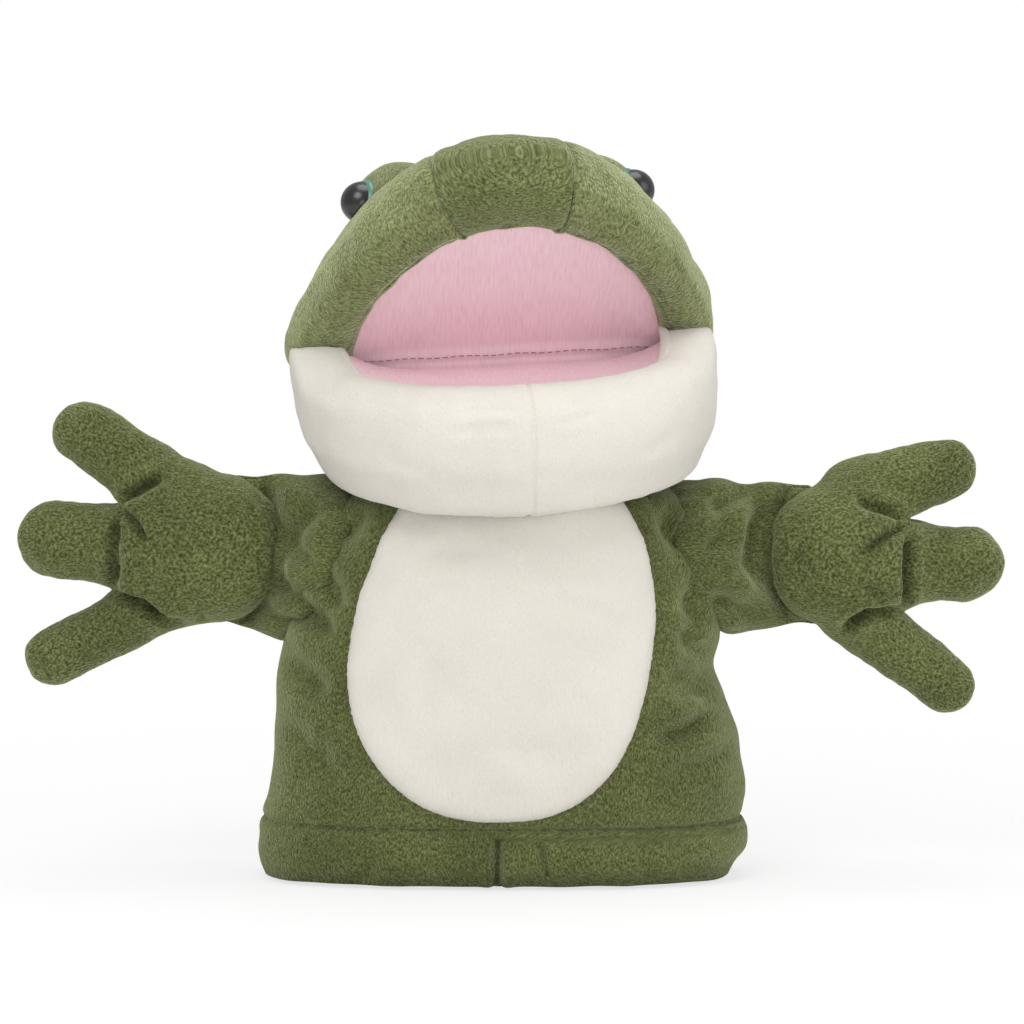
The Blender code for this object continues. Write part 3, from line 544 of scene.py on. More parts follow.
BACK_FOLDS = (
    (((-60.0, 84.0), (-40.0, 74.0), (-18.0, 72.0)), 1.5, 4.5),
    (((58.0, 80.0), (38.0, 70.0), (14.0, 66.0)), 1.6, 4.5),
    (((-62.0, 60.0), (-38.0, 50.0), (-10.0, 52.0)), 1.2, 5.0),
    (((64.0, 54.0), (40.0, 44.0), (12.0, 46.0)), 1.3, 5.0),
    (((2.0, 16.0), (2.5, 8.0), (2.0, 0.0)), 1.4, 1.8),
    (((-32.0, 112.0), (-28.0, 98.0), (-30.0, 84.0)), 1.0, 5.0),
    (((30.0, 112.0), (27.0, 96.0), (30.0, 82.0)), 1.0, 5.0),
)


def torso_point(angle, height):
    """A point of the torso's skin; angle runs from +X towards +Y."""
    row = rows_at(TORSO_ROWS, height)
    cos, sin = np.cos(angle), np.sin(angle)
    half = np.where(cos < 0.0, row[..., 0], row[..., 1])
    share = 2.0 / row[..., 3]
    x = half * power(cos, share)
    y = row[..., 2] * power(sin, share)
    return np.stack([x, y, np.broadcast_to(height, x.shape)], axis=-1)


def even_angles(count):
    """Angles whose points lie evenly spaced round the torso's middle."""
    fine = np.linspace(0.0, math.tau, 160001)
    ring = torso_point(fine, np.full(fine.shape, 60.0))
    run = np.concatenate([[0.0], np.cumsum(np.linalg.norm(np.diff(ring, axis=0), axis=1))])
    return np.interp(np.arange(count) * run[-1] / count, run, fine)


def folded(points, normals, seams=True):
    """The torso's skin with its creases, hem groove and pleats pressed in along the normals."""
    x, y, z = points[..., 0], points[..., 1], points[..., 2]
    front = smooth(-y, 2.0, 16.0)
    back = smooth(y, 2.0, 16.0)
    shift = 0.55 * waves(points * (1.0, 1.0, 0.7), 11, 46.0) * smooth(z, 20.0, 40.0)
    shift = shift + 0.22 * waves(points, 12, 15.0)
    shift = shift + front * creases(x, z, FRONT_FOLDS, FRONT_DEEPER)
    shift = shift + front * creases(x, z, HEM_FOLDS, HEM_DEEPER, 0.12)
    shift = shift + back * creases(x, z, BACK_FOLDS)
    pucker = 1.0 + 0.35 * np.sin(x * 1.3 + 0.8 * np.sin(x * 0.37) + y)
    shift = shift - 1.15 * bell(z - HEM_STITCH, 0.85) * pucker
    shift = shift + 0.30 * bell(z - HEM_STITCH + 3.0, 2.2) * pucker
    shift = shift + 0.25 * bell(z - HEM_STITCH - 3.0, 2.2)
    if seams:
        side = np.minimum(np.abs(y - 3.0 - 0.06 * z), 20.0)
        shift = shift - 0.9 * bell(side, 1.3) * smooth(np.abs(x), 30.0, 45.0)
    return points + normals * shift[..., None]


def belly_half(height):
    """The belly's half width at a height."""
    low = np.clip(1.0 - ((78.0 - height).clip(0.0) / 58.0) ** 2.35, 0.0, 1.0) ** (1.0 / 2.35)
    high = np.clip(1.0 - ((height - 78.0).clip(0.0) / 68.7) ** 1.8, 0.0, 1.0) ** (1.0 / 1.8)
    return 48.6 * low * high


def belly_middle(height):
    """The belly leans to the puppet's right lower down."""
    heights = (19.9, 59.0, 75.0, 92.0, 120.0, 132.0)
    return through(heights, (-4.5, -5.0, -3.5, -1.4, 0.4, 0.6), height)


BELLY_BOTTOM = 20.0005
BELLY_TOP = 127.0


def belly_height(share):
    """Heights from the belly's bottom to its top, closer together near the bottom."""
    return BELLY_BOTTOM + (BELLY_TOP - BELLY_BOTTOM) * (1.0 - np.cos(share * math.pi / 2))


def belly_outline():
    height = belly_height(np.linspace(0.0, 1.0, 260))
    half, middle = belly_half(height), belly_middle(height)
    left = np.stack([middle - half, height], axis=-1)
    right = np.stack([middle + half, height], axis=-1)
    return np.concatenate([left[::-1], right])


def from_outline(x, z, outline):
    """Distance in the front plane to the belly's outline."""
    flat = np.stack([x.ravel(), z.ravel()], axis=-1)
    best = np.full(len(flat), 1e9)
    for start in range(0, len(outline), 40):
        piece = outline[start:start + 40]
        gap = np.linalg.norm(flat[:, None, :] - piece[None], axis=-1).min(axis=1)
        best = np.minimum(best, gap)
    return best.reshape(x.shape)


def in_belly(x, z):
    return np.abs(x - belly_middle(z)) < belly_half(z)


def torso_skin():
    stretches = ((0.0, 24.0, 44), (24.6, 122.0, 150), (122.5, 131.0, 14))
    height = np.concatenate([np.linspace(*stretch) for stretch in stretches])
    grid_h, grid_a = np.meshgrid(height, even_angles(440), indexing="ij")
    points = torso_point(grid_a, grid_h)
    normals = grid_normals(points, True)
    outline = belly_outline()
    front = points[..., 1] < 0.0
    x, z = points[..., 0], points[..., 2]
    gap = from_outline(x, z, outline)
    shift = -1.0 * bell(gap, 1.5)
    shift = np.where(in_belly(x, z), -1.0, shift) * front * smooth(z, 18.9, 20.6)
    points = folded(points, normals) + normals * shift[..., None]
    return points


def front_point(x, z):
    """The torso's smooth front at a place across and a height."""
    row = rows_at(TORSO_ROWS, z)
    half = np.where(x < 0.0, row[..., 0], row[..., 1])
    square = row[..., 3]
    across = np.clip(np.abs(x) / half, 0.0, 0.995)
    y = -row[..., 2] * (1.0 - across**square) ** (1.0 / square)
    return np.stack([x, y, z], axis=-1)


def belly_skin():
    share = np.linspace(0.002, 1.0, 150)
    across = np.sin(np.linspace(-math.pi / 2, math.pi / 2, 130))
    grid_t, grid_s = np.meshgrid(share, across, indexing="ij")
    z = belly_height(grid_t)
    x = belly_middle(z) + belly_half(z) * grid_s
    points = front_point(x, z)
    normals = grid_normals(points, False)
    gap = from_outline(x, z, belly_outline())
    rng = np.random.default_rng(5)
    rough = rng.normal(0.0, 0.16, gap.shape) * np.exp(-gap / 1.2) * smooth(grid_t, 0.02, 0.08)
    lift = -1.7 + 3.0 * (1.0 - np.exp(-gap / 2.0)) + rough
    lift = lift + 0.35 * waves(points, 21, 26.0) * smooth(gap, 0.0, 12.0)
    lift = lift + creases(x, z, BELLY_FOLDS, BELLY_DEEPER)
    return folded(points, normals, False) + normals * lift[..., None]


BELLY_FOLDS = (
    (((-34.0, 103.0), (-20.0, 106.0), (-4.0, 105.0)), 0.55, 2.8),
    (((-40.0, 88.0), (-26.0, 92.0), (-8.0, 94.0)), 0.5, 3.2),
    (((4.0, 92.0), (22.0, 88.0), (40.0, 78.0)), 0.6, 3.4),
    (((-22.0, 78.0), (-28.0, 62.0), (-26.0, 48.0)), 0.45, 3.6),
    (((12.0, 68.0), (26.0, 54.0), (30.0, 40.0)), 0.5, 3.6),
    (((-8.0, 46.0), (4.0, 42.0), (18.0, 46.0)), 0.35, 3.2),
    (((20.0, 104.0), (30.0, 98.0), (36.0, 88.0)), 0.45, 3.0),
)


# ---------------------------------------------------------------- arms
# Palm: x, z, half x, half z. Fingers: x, z, angle, reach, half width at the tip and the base.
# Notches: where the cloth is pinched between two fingers, and the direction it opens in.
HAND_SQUARE = 2.3
FINGER_ROOT = 12.0
ARMS = {
    "right": {
        "sign": -1.0,
        "wrist": 78.0,
        "palm": (101.5, 104.3, 28.5, 24.6),
        "fingers": {
            "upper": (117.0, 127.3, 35.0, 34.0, 10.2, 12.0),
            "middle": (125.0, 104.8, 5.5, 33.6, 12.4, 12.4),
            "lower": (115.5, 85.3, -27.0, 45.0, 9.3, 9.9),
        },
        "notches": (((-124.6, 117.7), 20.0), ((-127.0, 91.2), -11.0)),
    },
    "left": {
        "sign": 1.0,
        "wrist": 85.0,
        "palm": (108.0, 102.2, 26.0, 23.2),
        "fingers": {
            "upper": (122.5, 124.3, 17.0, 27.0, 9.8, 12.0),
            "middle": (131.5, 98.6, 2.0, 26.2, 12.2, 12.3),
            "lower": (118.5, 76.2, -38.0, 35.8, 9.1, 10.6),
        },
        "notches": (((125.1, 113.0), 9.5), ((125.8, 83.6), -18.0)),
    },
}


def lerp(a, b, t):
    return a + (b - a) * t


def squared_round(a, b, square):
    """How far out (a, b) lies on a rounded square: 1 on its outline."""
    return (np.abs(a) ** square + np.abs(b) ** square) ** (1 / square)


def sleeve_skin(side):
    """A short tube from the armhole to inside the hand, gathered a little into its seam."""
    arm = ARMS[side]
    sign = arm["sign"]
    count, rows = 120, 46
    angle = np.arange(count) * math.tau / count
    t = np.linspace(0.0, 1.0, rows)[:, None]
    root_y = 22.5 * np.cos(angle)
    root_z = 101.0 + (24.0 if sign > 0 else 25.5) * np.sin(angle)
    width = rows_at(TORSO_ROWS, np.clip(root_z, 0.0, 126.0))
    half = width[:, 0] if sign < 0 else width[:, 1]
    depth, square = width[:, 2], width[:, 3]
    inset = np.clip(1.0 - (np.abs(root_y) / depth) ** square, 0.02, 1.0) ** (1.0 / square)
    root_x = half * inset - 2.2
    end_x = arm["wrist"] + 17.0
    centre = 101.9 if sign > 0 else 103.6
    end_half = 21.4 if sign > 0 else 22.6
    end_y = 5.0 * np.cos(angle)
    end_z = centre + end_half * power(np.sin(angle), 0.92)
    ease = smooth(t, -0.05, 0.8)
    x = lerp(root_x[None], end_x, t)
    y = lerp(root_y[None], end_y[None], 0.35 * ease + 0.65 * smooth(t, 0.1, 0.75))
    z = lerp(root_z[None], end_z[None], ease) - centre
    z = centre + z * (1.0 - 0.25 * smooth(t, 0.86, 1.0))
    points = np.stack(np.broadcast_arrays(sign * x, y, z), axis=-1)
    normals = grid_normals(points, True) * sign
    out = np.stack([np.zeros_like(y), y, z - centre], axis=-1)
    normals = turned_outward(normals, out)
    puff = 1.4 * np.sin(math.pi * t.clip(0.0, 1.0)) ** 0.7
    gathers = 0.5 * np.sin(angle * 17.0 + 0.6 * np.sin(angle * 3.0))[None] * bell(t, 0.22)
    waviness = 0.5 * waves(points, 31 if sign < 0 else 32, 17.0)
    seam = -1.9 * bell(t, 0.07)
    shift = puff + gathers + waviness + seam
    folds = creases(points[..., 0], points[..., 2], SLEEVE_FOLDS[side], SLEEVE_DEEPER)
    shift = shift + folds * smooth(-points[..., 1], -5.0, 3.0)
    palm_x, palm_z, half_x, half_z = arm["palm"]
    k = squared_round((x - palm_x) / half_x, (points[..., 2] - palm_z) / half_z, HAND_SQUARE)
    facing = smooth(np.abs(normals[..., 1]), 0.35, 0.8)
    shift = shift - 4.4 * bell((k - 1.0) * 26.0 + 0.5, 3.8) * facing
    return points + normals * shift[..., None]


SLEEVE_FOLDS = {
    "right": (
        (((-60.0, 120.0), (-66.0, 113.0), (-72.0, 107.0)), 3.0, 3.4),
        (((-60.0, 101.0), (-67.0, 104.0), (-76.0, 112.0)), 2.4, 3.2),
        (((-62.0, 90.0), (-69.0, 90.0), (-78.0, 95.0)), 2.6, 3.2),
        (((-66.0, 81.0), (-72.0, 82.0), (-82.0, 86.0)), 1.8, 2.8),
    ),
    "left": (
        (((61.0, 116.0), (68.0, 119.0), (80.0, 125.0)), 3.0, 3.0),
        (((82.0, 124.0), (77.0, 112.0), (75.0, 100.0), (81.0, 86.0)), 4.0, 3.6),
        (((60.0, 102.0), (66.0, 108.0), (70.0, 117.0)), 2.8, 3.2),
        (((62.0, 90.0), (69.0, 88.0), (80.0, 82.0)), 2.4, 3.0),
        (((64.0, 95.0), (69.0, 99.0), (71.0, 108.0)), 2.0, 3.0),
    ),
}


def union(a, b, soft):
    """A smooth union of two distance fields."""
    h = np.clip(0.5 + 0.5 * (b - a) / soft, 0.0, 1.0)
    return b + (a - b) * h - soft * h * (1.0 - h)


def capsule(p, start, end, r_start, r_end):
    """Distance to a tapered round bar between two points of the plane."""
    step = end - start
    t = (p[..., 0] - start[0]) * step[0] + (p[..., 2] - start[1]) * step[1]
    t = np.clip(t / (step @ step), 0.0, 1.0)
    dx = p[..., 0] - start[0] - t * step[0]
    dz = p[..., 2] - start[1] - t * step[1]
    radius = r_start + (r_end - r_start) * t
    flat = 0.84
    return np.sqrt(dx**2 + dz**2 + (p[..., 1] / flat) ** 2) - radius


def finger_line(side, which):
    """A finger's base and tip-centre in the plane, its direction and half width."""
    sign = ARMS[side]["sign"]
    x, z, tilt, reach, half, wide = ARMS[side]["fingers"][which]
    tilt = math.radians(tilt)
    direction = np.array([sign * math.cos(tilt), math.sin(tilt)])
    base = np.array([sign * x, z])
    return base, base + direction * (reach - half), direction, (wide, half)


def hand_field(side, p):
    """Signed distance to the stuffed hand: a palm and three fingers run together."""
    sign = ARMS[side]["sign"]
    x, z, half_x, half_z = ARMS[side]["palm"]
    k = squared_round((p[..., 0] - sign * x) / half_x, (p[..., 2] - z) / half_z, HAND_SQUARE)
    k = squared_round(k, (p[..., 1] + 1.6) / 14.5, 2.4)
    total = (k - 1.0) * 14.0
    for which, outward in (("upper", 1.0), ("lower", -1.0), ("middle", 0.0)):
        base, tip, direction, half = finger_line(side, which)
        aside = np.array([-direction[1], direction[0]]) * sign * outward
        back = base - direction * FINGER_ROOT + aside * (half[0] - half[1]) * 0.3
        bar = capsule(p, back, tip, *half)
        total = union(total, bar, 4.0)
    for (x, z), tilt in ARMS[side]["notches"]:
        ahead = np.array([sign * math.cos(math.radians(tilt)), math.sin(math.radians(tilt))])
        off, t = to_line(p[..., 0], p[..., 2], (x, z), np.array([x, z]) + 20.0 * ahead)
        total = -union(-total, off - 0.3 - 2.2 * t, 1.0)
    return total


def surface_net(field, low, step):
    """A closed quad mesh over the zero level of a field sampled on a box of cells."""
    inside = field < 0.0
    shape = np.array(field.shape) - 1
    corners = [(i, j, k) for i in (0, 1) for j in (0, 1) for k in (0, 1)]

    def at(values, c):
        return values[c[0]:c[0] + shape[0], c[1]:c[1] + shape[1], c[2]:c[2] + shape[2]]

    mixed_cells = np.zeros(shape, int)
    for c in corners:
        mixed_cells += at(inside, c)
    active = (mixed_cells > 0) & (mixed_cells < 8)
    cells = np.argwhere(active)
    index = np.full(shape, -1)
    index[active] = np.arange(len(cells))
    total = np.zeros((len(cells), 3))
    count = np.zeros(len(cells))
    for a in corners:
        for axis in range(3):
            if a[axis]:
                continue
            b = tuple(1 if i == axis else a[i] for i in range(3))
            fa = at(field, a)[active]
            fb = at(field, b)[active]
            crossing = (fa < 0.0) != (fb < 0.0)
            t = np.where(crossing, fa / np.where(crossing, fa - fb, 1.0), 0.0)
            place = np.tile(np.array(a, float), (len(cells), 1))
            place[:, axis] += t
            total += place * crossing[:, None]
            count += crossing
    points = (cells + total / count[:, None]) * step + low
    faces = []
    for axis in range(3):
        others = [i for i in range(3) if i != axis]
        lower = np.take(inside, np.arange(inside.shape[axis] - 1), axis=axis)
        upper = np.take(inside, np.arange(1, inside.shape[axis]), axis=axis)
        for flip, hits in ((False, lower & ~upper), (True, ~lower & upper)):
            found = np.argwhere(hits)
            for i in range(3):
                if i != axis:
                    found = found[(found[:, i] > 0) & (found[:, i] < shape[i])]
            u, v = np.zeros(3, int), np.zeros(3, int)
            u[others[0]], v[others[1]] = 1, 1
            quad = [found, found - u, found - u - v, found - v]
            quad = [index[q[:, 0], q[:, 1], q[:, 2]] for q in quad]
            stacked = np.stack(quad, axis=-1)
            turn = flip != (axis == 1)
            faces.append(stacked[:, ::-1] if turn else stacked)
    return points, np.concatenate(faces)


def vertex_normals(points, faces):
    """Unit normals of the points of a quad mesh, from its faces' diagonals."""
    a, b, c, d = (points[faces[:, i]] for i in range(4))
    diagonal = np.cross(c - a, d - b)
    normals = np.zeros_like(points)
    for i in range(4):
        np.add.at(normals, faces[:, i], diagonal)
    return normals / np.maximum(np.linalg.norm(normals, axis=1, keepdims=True), 1e-9)


def relaxed(points, faces, rounds):
    """Vertices eased towards their neighbours' middle."""
    pairs = np.concatenate([faces[:, [i, (i + 1) % 4]] for i in range(4)])
    for _ in range(rounds):
        total, count = np.zeros_like(points), np.zeros(len(points))
        np.add.at(total, pairs[:, 0], points[pairs[:, 1]])
        np.add.at(count, pairs[:, 0], 1.0)
        points = 0.5 * points + 0.5 * total / count[:, None]
    return points


# Pinched lines on each hand, in the plane: path, depth, width.
HAND_FOLDS = {
    "right": (
        (((-125.5, 119.5), (-118.0, 123.5), (-109.5, 128.0)), 3.0, 1.6),
        (((-124.8, 118.0), (-119.5, 113.0), (-115.5, 106.5)), 2.8, 1.5),
        (((-125.0, 118.0), (-125.5, 110.0), (-127.0, 100.0), (-127.3, 90.6)), 2.8, 1.5),
        (((-122.5, 106.0), (-125.0, 99.0), (-127.0, 92.0)), 1.4, 1.6),
        (((-127.5, 90.0), (-118.0, 87.0), (-110.0, 81.0)), 2.8, 1.6),
        (((-118.0, 87.0), (-110.0, 81.0), (-104.0, 81.5)), 1.4, 1.6),
        (((-99.5, 86.5), (-99.0, 83.5), (-98.5, 80.0)), 1.2, 1.4),
    ),
    "left": (
        (((125.5, 113.5), (118.0, 117.0), (108.5, 120.0)), 2.8, 1.6),
        (((125.5, 112.5), (119.0, 109.5), (110.0, 102.5)), 2.8, 1.7),
        (((124.5, 83.8), (113.0, 84.5), (104.0, 77.0)), 3.0, 1.6),
        (((125.0, 112.5), (125.5, 102.0), (125.5, 92.0), (124.3, 84.0)), 2.8, 1.5),
        (((124.0, 84.0), (117.0, 90.0), (110.0, 94.0)), 1.4, 2.0),
        (((92.0, 108.0), (90.0, 98.0), (94.0, 88.0)), 1.4, 2.4),
    ),
}


def hand_skin(side):
    """The whole hand as one closed mesh with its pinches."""
    sign = ARMS[side]["sign"]
    step = 1.2
    xs = np.arange(74.0, 164.0, step) * sign
    if sign < 0:
        xs = xs[::-1]
    ys = np.arange(-18.0, 18.6, step)
    zs = np.arange(50.0, 166.0, step)
    p = np.stack(np.meshgrid(xs, ys, zs, indexing="ij"), axis=-1)
    points, faces = surface_net(hand_field(side, p), p[0, 0, 0], step)
    points = relaxed(points, faces, 3)
    normals = vertex_normals(points, faces)
    shift = creases(points[:, 0], points[:, 2], HAND_FOLDS[side], HAND_DEEPER, 0.25)
    shift *= smooth(np.abs(normals[:, 1]), 0.1, 0.5)
    shift += 0.35 * waves(points, 41 if sign < 0 else 42, 13.0)
    shift += 0.10 * waves(points, 43, 4.5)
    return points + normals * shift[:, None], faces


def hand_uv(points, base, direction, wide):
    """The pile on a palm or finger lies along it, and runs on over its edges."""
    across = points[:, [0, 2]] - base
    along = across @ direction
    off = across @ np.array([-direction[1], direction[0]])
    return np.stack([off + 0.8 * points[:, 1] * np.tanh(off / wide), along], axis=-1) * MM


def hand_pieces(side):
    """The palm and the fingers, cut apart where each finger starts to bend."""
    points, faces = hand_skin(side)
    middle = points[faces].mean(axis=1)
    owner = np.zeros(len(faces), int)
    best = np.full(len(faces), 1e9)
    for i, which in enumerate(("upper", "middle", "lower")):
        base, tip, direction, half = finger_line(side, which)
        ahead = (middle[:, 0] - base[0]) * direction[0] + (middle[:, 2] - base[1]) * direction[1]
        gap = capsule(middle, base - direction * FINGER_ROOT, tip, *half)
        mine = (ahead > -1.0) & (gap < best)
        best = np.where(ahead > -1.0, np.minimum(best, gap), best)
        owner = np.where(mine, i + 1, owner)
    made = {}
    palm_x, palm_z = ARMS[side]["palm"][:2]
    sign = ARMS[side]["sign"]
    for i, which in enumerate(("palm", "upper", "middle", "lower")):
        kept = faces[owner == i]
        used, renumbered = np.unique(kept, return_inverse=True)
        name = "plush_palm_" + side if i == 0 else "plush_finger_" + which + "_" + side
        if i == 0:
            centre = np.array([sign * palm_x, palm_z])
            uv = hand_uv(points[used], centre, np.array([sign, 0.0]), 25.0)
        else:
            base, tip, direction, half = finger_line(side, which)
            uv = hand_uv(points[used], base, direction, 20.0)
        made[which] = mesh_object(name, points[used], renumbered.reshape(-1, 4), GREEN, uv)
    return made


# ---------------------------------------------------------------- build: torso and arms
torso = grid_object("plush_body", torso_skin(), True, GREEN)
thicken(torso, 2.0)
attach(torso, "torso")
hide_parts("body_front", "body_back", "hem_band")

belly = grid_object("plush_belly", belly_skin(), False, CREAM)
thicken(belly, 1.6)
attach(belly, "torso")
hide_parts("belly_patch")

for side, arm in ARMS.items():
    sign = arm["sign"]
    sleeve = grid_object("plush_sleeve_" + side, sleeve_skin(side), True, GREEN, flip=sign < 0)
    thicken(sleeve, 1.8)
    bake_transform(sleeve)
    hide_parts("sleeve_" + side)
    hand = hand_pieces(side)
    wrist = arm["wrist"]
    start = (sign * (wrist - 4.0) * MM, 0.0, 0.103)
    end = (sign * (wrist + 14.0) * MM, 0.0, 0.103)
    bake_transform(hand["palm"])
    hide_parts("palm_" + side)
    for which in ("upper", "middle", "lower"):
        base, tip, direction, half = finger_line(side, which)
        finger_body = "finger_" + which + "_" + side
        ahead = base + direction * 9.0
        start = (base[0] * MM, 0.0, base[1] * MM)
        end = (ahead[0] * MM, 0.0, ahead[1] * MM)
        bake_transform(hand[which])
        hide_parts(finger_body)


# ---------------------------------------------------------------- head
# Pairs: the puppet's right (-X), then its left (+X). Most of these values began as a least-squares
# fit to the photograph's outline by another program, and were then rounded or changed.
PALATE_HALVES, PALATE_FRONT, PALATE_SHARP = (50.8, 51.4), 59.4, (1.13, 1.15)
RING_HALVES, RING_FRONT, RING_SHARP, RING_REAR = (68.6, 66.6), 76.4, (1.56, 1.40), 46.0
HEAD_TOP, CHEEK = 46.8, (-3.5, 0.8)
NECK_TOP_Z = 138.0
# The lip's roll from the palate's edge out to the ring: share of the way, off the palate's plane.
RING_OFF = 9.5
LIP_PROFILE = (
    (0.0, 2.2), (0.05, -0.4), (0.22, -2.9), (0.5, -3.1), (0.78, -0.6), (0.95, 4.2), (1.0, RING_OFF),
)


def mouth_outline(turn, halves, front, rear, sharp):
    """Across and forward on an oval whose front sides are drawn in. Halves and sharp are pairs,
    the puppet's right and then its left; sharp is 1 for a plain oval."""
    cos, sin = np.cos(turn), np.sin(turn)
    side = 0.5 + 0.5 * np.tanh(cos * 4.0)
    power_here = sharp[0] + (sharp[1] - sharp[0]) * side
    v = np.where(sin > 0.0, front * np.abs(sin) ** power_here, -rear * np.abs(sin))
    return (halves[0] + (halves[1] - halves[0]) * side) * cos, v


def head_skin():
    columns, lip_rows, dome_rows = 380, 34, 84
    turn = np.arange(columns) * math.tau / columns
    inner_x, inner_v = mouth_outline(turn, PALATE_HALVES, PALATE_FRONT, 0.0, PALATE_SHARP)
    ring_x, ring_v = mouth_outline(turn, RING_HALVES, RING_FRONT, RING_REAR, RING_SHARP)
    share = np.linspace(0.0, 1.0, lip_rows) ** 0.8
    profile = rows_at(LIP_PROFILE, share)
    x = inner_x[None] + (ring_x - inner_x)[None] * share[:, None]
    v = inner_v[None] + (ring_v - inner_v)[None] * share[:, None]
    front_part = in_mouth(UPPER_TILT, x, v, np.broadcast_to(profile[:, None], x.shape))
    back = smooth(-np.sin(turn), 0.0, 0.42)
    around = np.arctan2(-ring_v * 0.9, ring_x)
    neck = [NECK[0] + 33.6 * np.cos(around), 33.6 * np.sin(around), np.full(columns, NECK_TOP_Z)]
    neck = np.stack(neck, axis=-1)
    ring = in_mouth(UPPER_TILT, ring_x, ring_v, RING_OFF)
    middle = 0.5 * (neck + ring) + np.array([0.0, 1.5, -3.0])
    s = share[:, None, None]
    rear_part = curve(neck, middle, ring, s)
    lip = front_part + (rear_part - front_part) * back[None, :, None]
    rise = np.linspace(0.0, math.pi / 2, dome_rows + 1)[1:, None]
    dome_share = np.cos(rise)
    cos, sin = np.cos(turn), np.sin(turn)
    cheek = bell(sin, 0.42) * np.where(cos < 0.0, CHEEK[0], CHEEK[1])
    valley = -1.5 * bell(rise - 0.20, 0.11)
    valley = valley * smooth(sin, -0.15, 0.35) * smooth(np.abs(cos), 0.45, 0.85)
    bulge = bell(rise - 0.48, 0.26) * cheek[None]
    x = ring_x[None] * dome_share + cos[None] * (bulge + valley)
    v = ring_v[None] * dome_share + sin[None] * (bulge + valley)
    dome = in_mouth(UPPER_TILT, x, v, RING_OFF + (HEAD_TOP - RING_OFF) * np.sin(rise))
    points = np.concatenate([lip, dome])
    normals = grid_normals(points, True)
    normals = turned_outward(normals, points - points.mean(axis=(0, 1)))
    seam = np.abs(np.abs(points[..., 0] - crown_middle(points)) - crown_line(points))
    front = smooth(points[..., 2], 141.0, 150.0)
    shift = -1.05 * bell(seam, 1.1) * front + 0.35 * bell(seam - 3.4, 2.6) * front
    shift += 0.32 * waves(points, 51, 19.0) + 0.12 * waves(points, 52, 7.0)
    shift[-3:] = shift[-3:].mean()
    return points + normals * shift[..., None], turn


def crown_line(points):
    """The crown seams' distance from the middle: narrowest at the palate's edge."""
    forward = np.linalg.norm(points[..., 1:] - HINGE[1:], axis=-1)
    return 14.2 + 15.0 * smooth(forward, 52.0, 92.0) - 7.0 * smooth(points[..., 1], 0.0, 40.0)


def crown_middle(points):
    """The crown panel leans a little to the puppet's right towards the top."""
    forward = np.linalg.norm(points[..., 1:] - HINGE[1:], axis=-1)
    return HINGE[0] - 1.0 - 5.6 * smooth(forward, 54.0, 90.0)


def head_object():
    """The plush skin of the upper head, its pile turned a different way on each panel, and the
    crown in a less lit copy of the sides' green as painted shade.
    """
    points, turn = head_skin()
    rows, columns = points.shape[:2]
    flat = points.reshape(-1, 3)
    faces = grid_faces(rows, columns, True)
    obj = mesh_object("plush_head", head_place(flat), faces, LIT_HEAD_GREEN)
    # The crown panel takes the less lit copy of the green: painted shade against the lit sides.
    obj.data.materials.append(HALF_LIT_CROWN_GREEN)
    middle = flat[faces].mean(axis=1)
    crown = np.abs(middle[:, 0] - crown_middle(middle)) < crown_line(middle)
    obj.data.polygons.foreach_set("material_index", crown.astype(np.int32))
    step = np.linalg.norm(np.diff(points, axis=0), axis=-1)
    run = np.concatenate([np.zeros((1, columns)), np.cumsum(step, axis=0)]).ravel()
    radius = 60.0
    around = np.tile(turn * radius, rows)
    corner = faces.ravel()
    u, v = around[corner].reshape(-1, 4), run[corner].reshape(-1, 4)
    wrapped = (u.max(axis=1) - u.min(axis=1)) > 180.0
    u = np.where(wrapped[:, None] & (u < 180.0), u + radius * math.tau, u)
    face_uv = np.stack([u, v], axis=-1)
    strip = np.stack([flat[corner, 2] * 1.2 - flat[corner, 1], flat[corner, 0]], axis=-1)
    strip = strip.reshape(-1, 4, 2)
    face_uv = np.where(crown[:, None, None], strip, face_uv)
    layer = obj.data.uv_layers.new(name="lie")
    layer.data.foreach_set("uv", (face_uv.reshape(-1) * MM).astype(np.float32))
    mark_edge(obj, run / 20.0)
    return obj


def mark_edge(obj, share):
    """How far each point lies from the palate's edge, for the pile's painted shade and its fringe.
    """
    layer = obj.data.attributes.new("edge", "FLOAT", "POINT")
    layer.data.foreach_set("value", np.asarray(share, np.float32).clip(0.0, 1.0))


# Rows down the jaw: off its palate's plane, half width on -X and on +X, reach forward.
# Another program made most of this table: a least-squares fit to the photograph's outline printed
# rows 5 to 13. report.md says so, because a script should hold no such table.
JAW_ROWS = (
    (2.0, 52.4, 49.0, 52.6),
    (-0.3, 53.3, 49.8, 53.4),
    (-1.9, 55.6, 52.6, 57.2),
    (-1.7, 60.2, 58.3, 62.6),
    (1.2, 65.5, 63.3, 67.4),
    (6.0, 69.4, 65.7, 70.8),
    (13.0, 69.1, 66.1, 73.0),
    (21.0, 67.7, 64.9, 73.2),
    (27.0, 64.2, 62.6, 71.0),
    (35.6, 58.6, 58.4, 67.0),
    (38.1, 50.0, 50.2, 60.6),
    (40.1, 40.1, 38.1, 53.5),
    (42.2, 32.5, 30.6, 48.6),
    (38.0, 29.0, 27.0, 46.0),
    (31.0, 28.0, 26.0, 45.2),
)


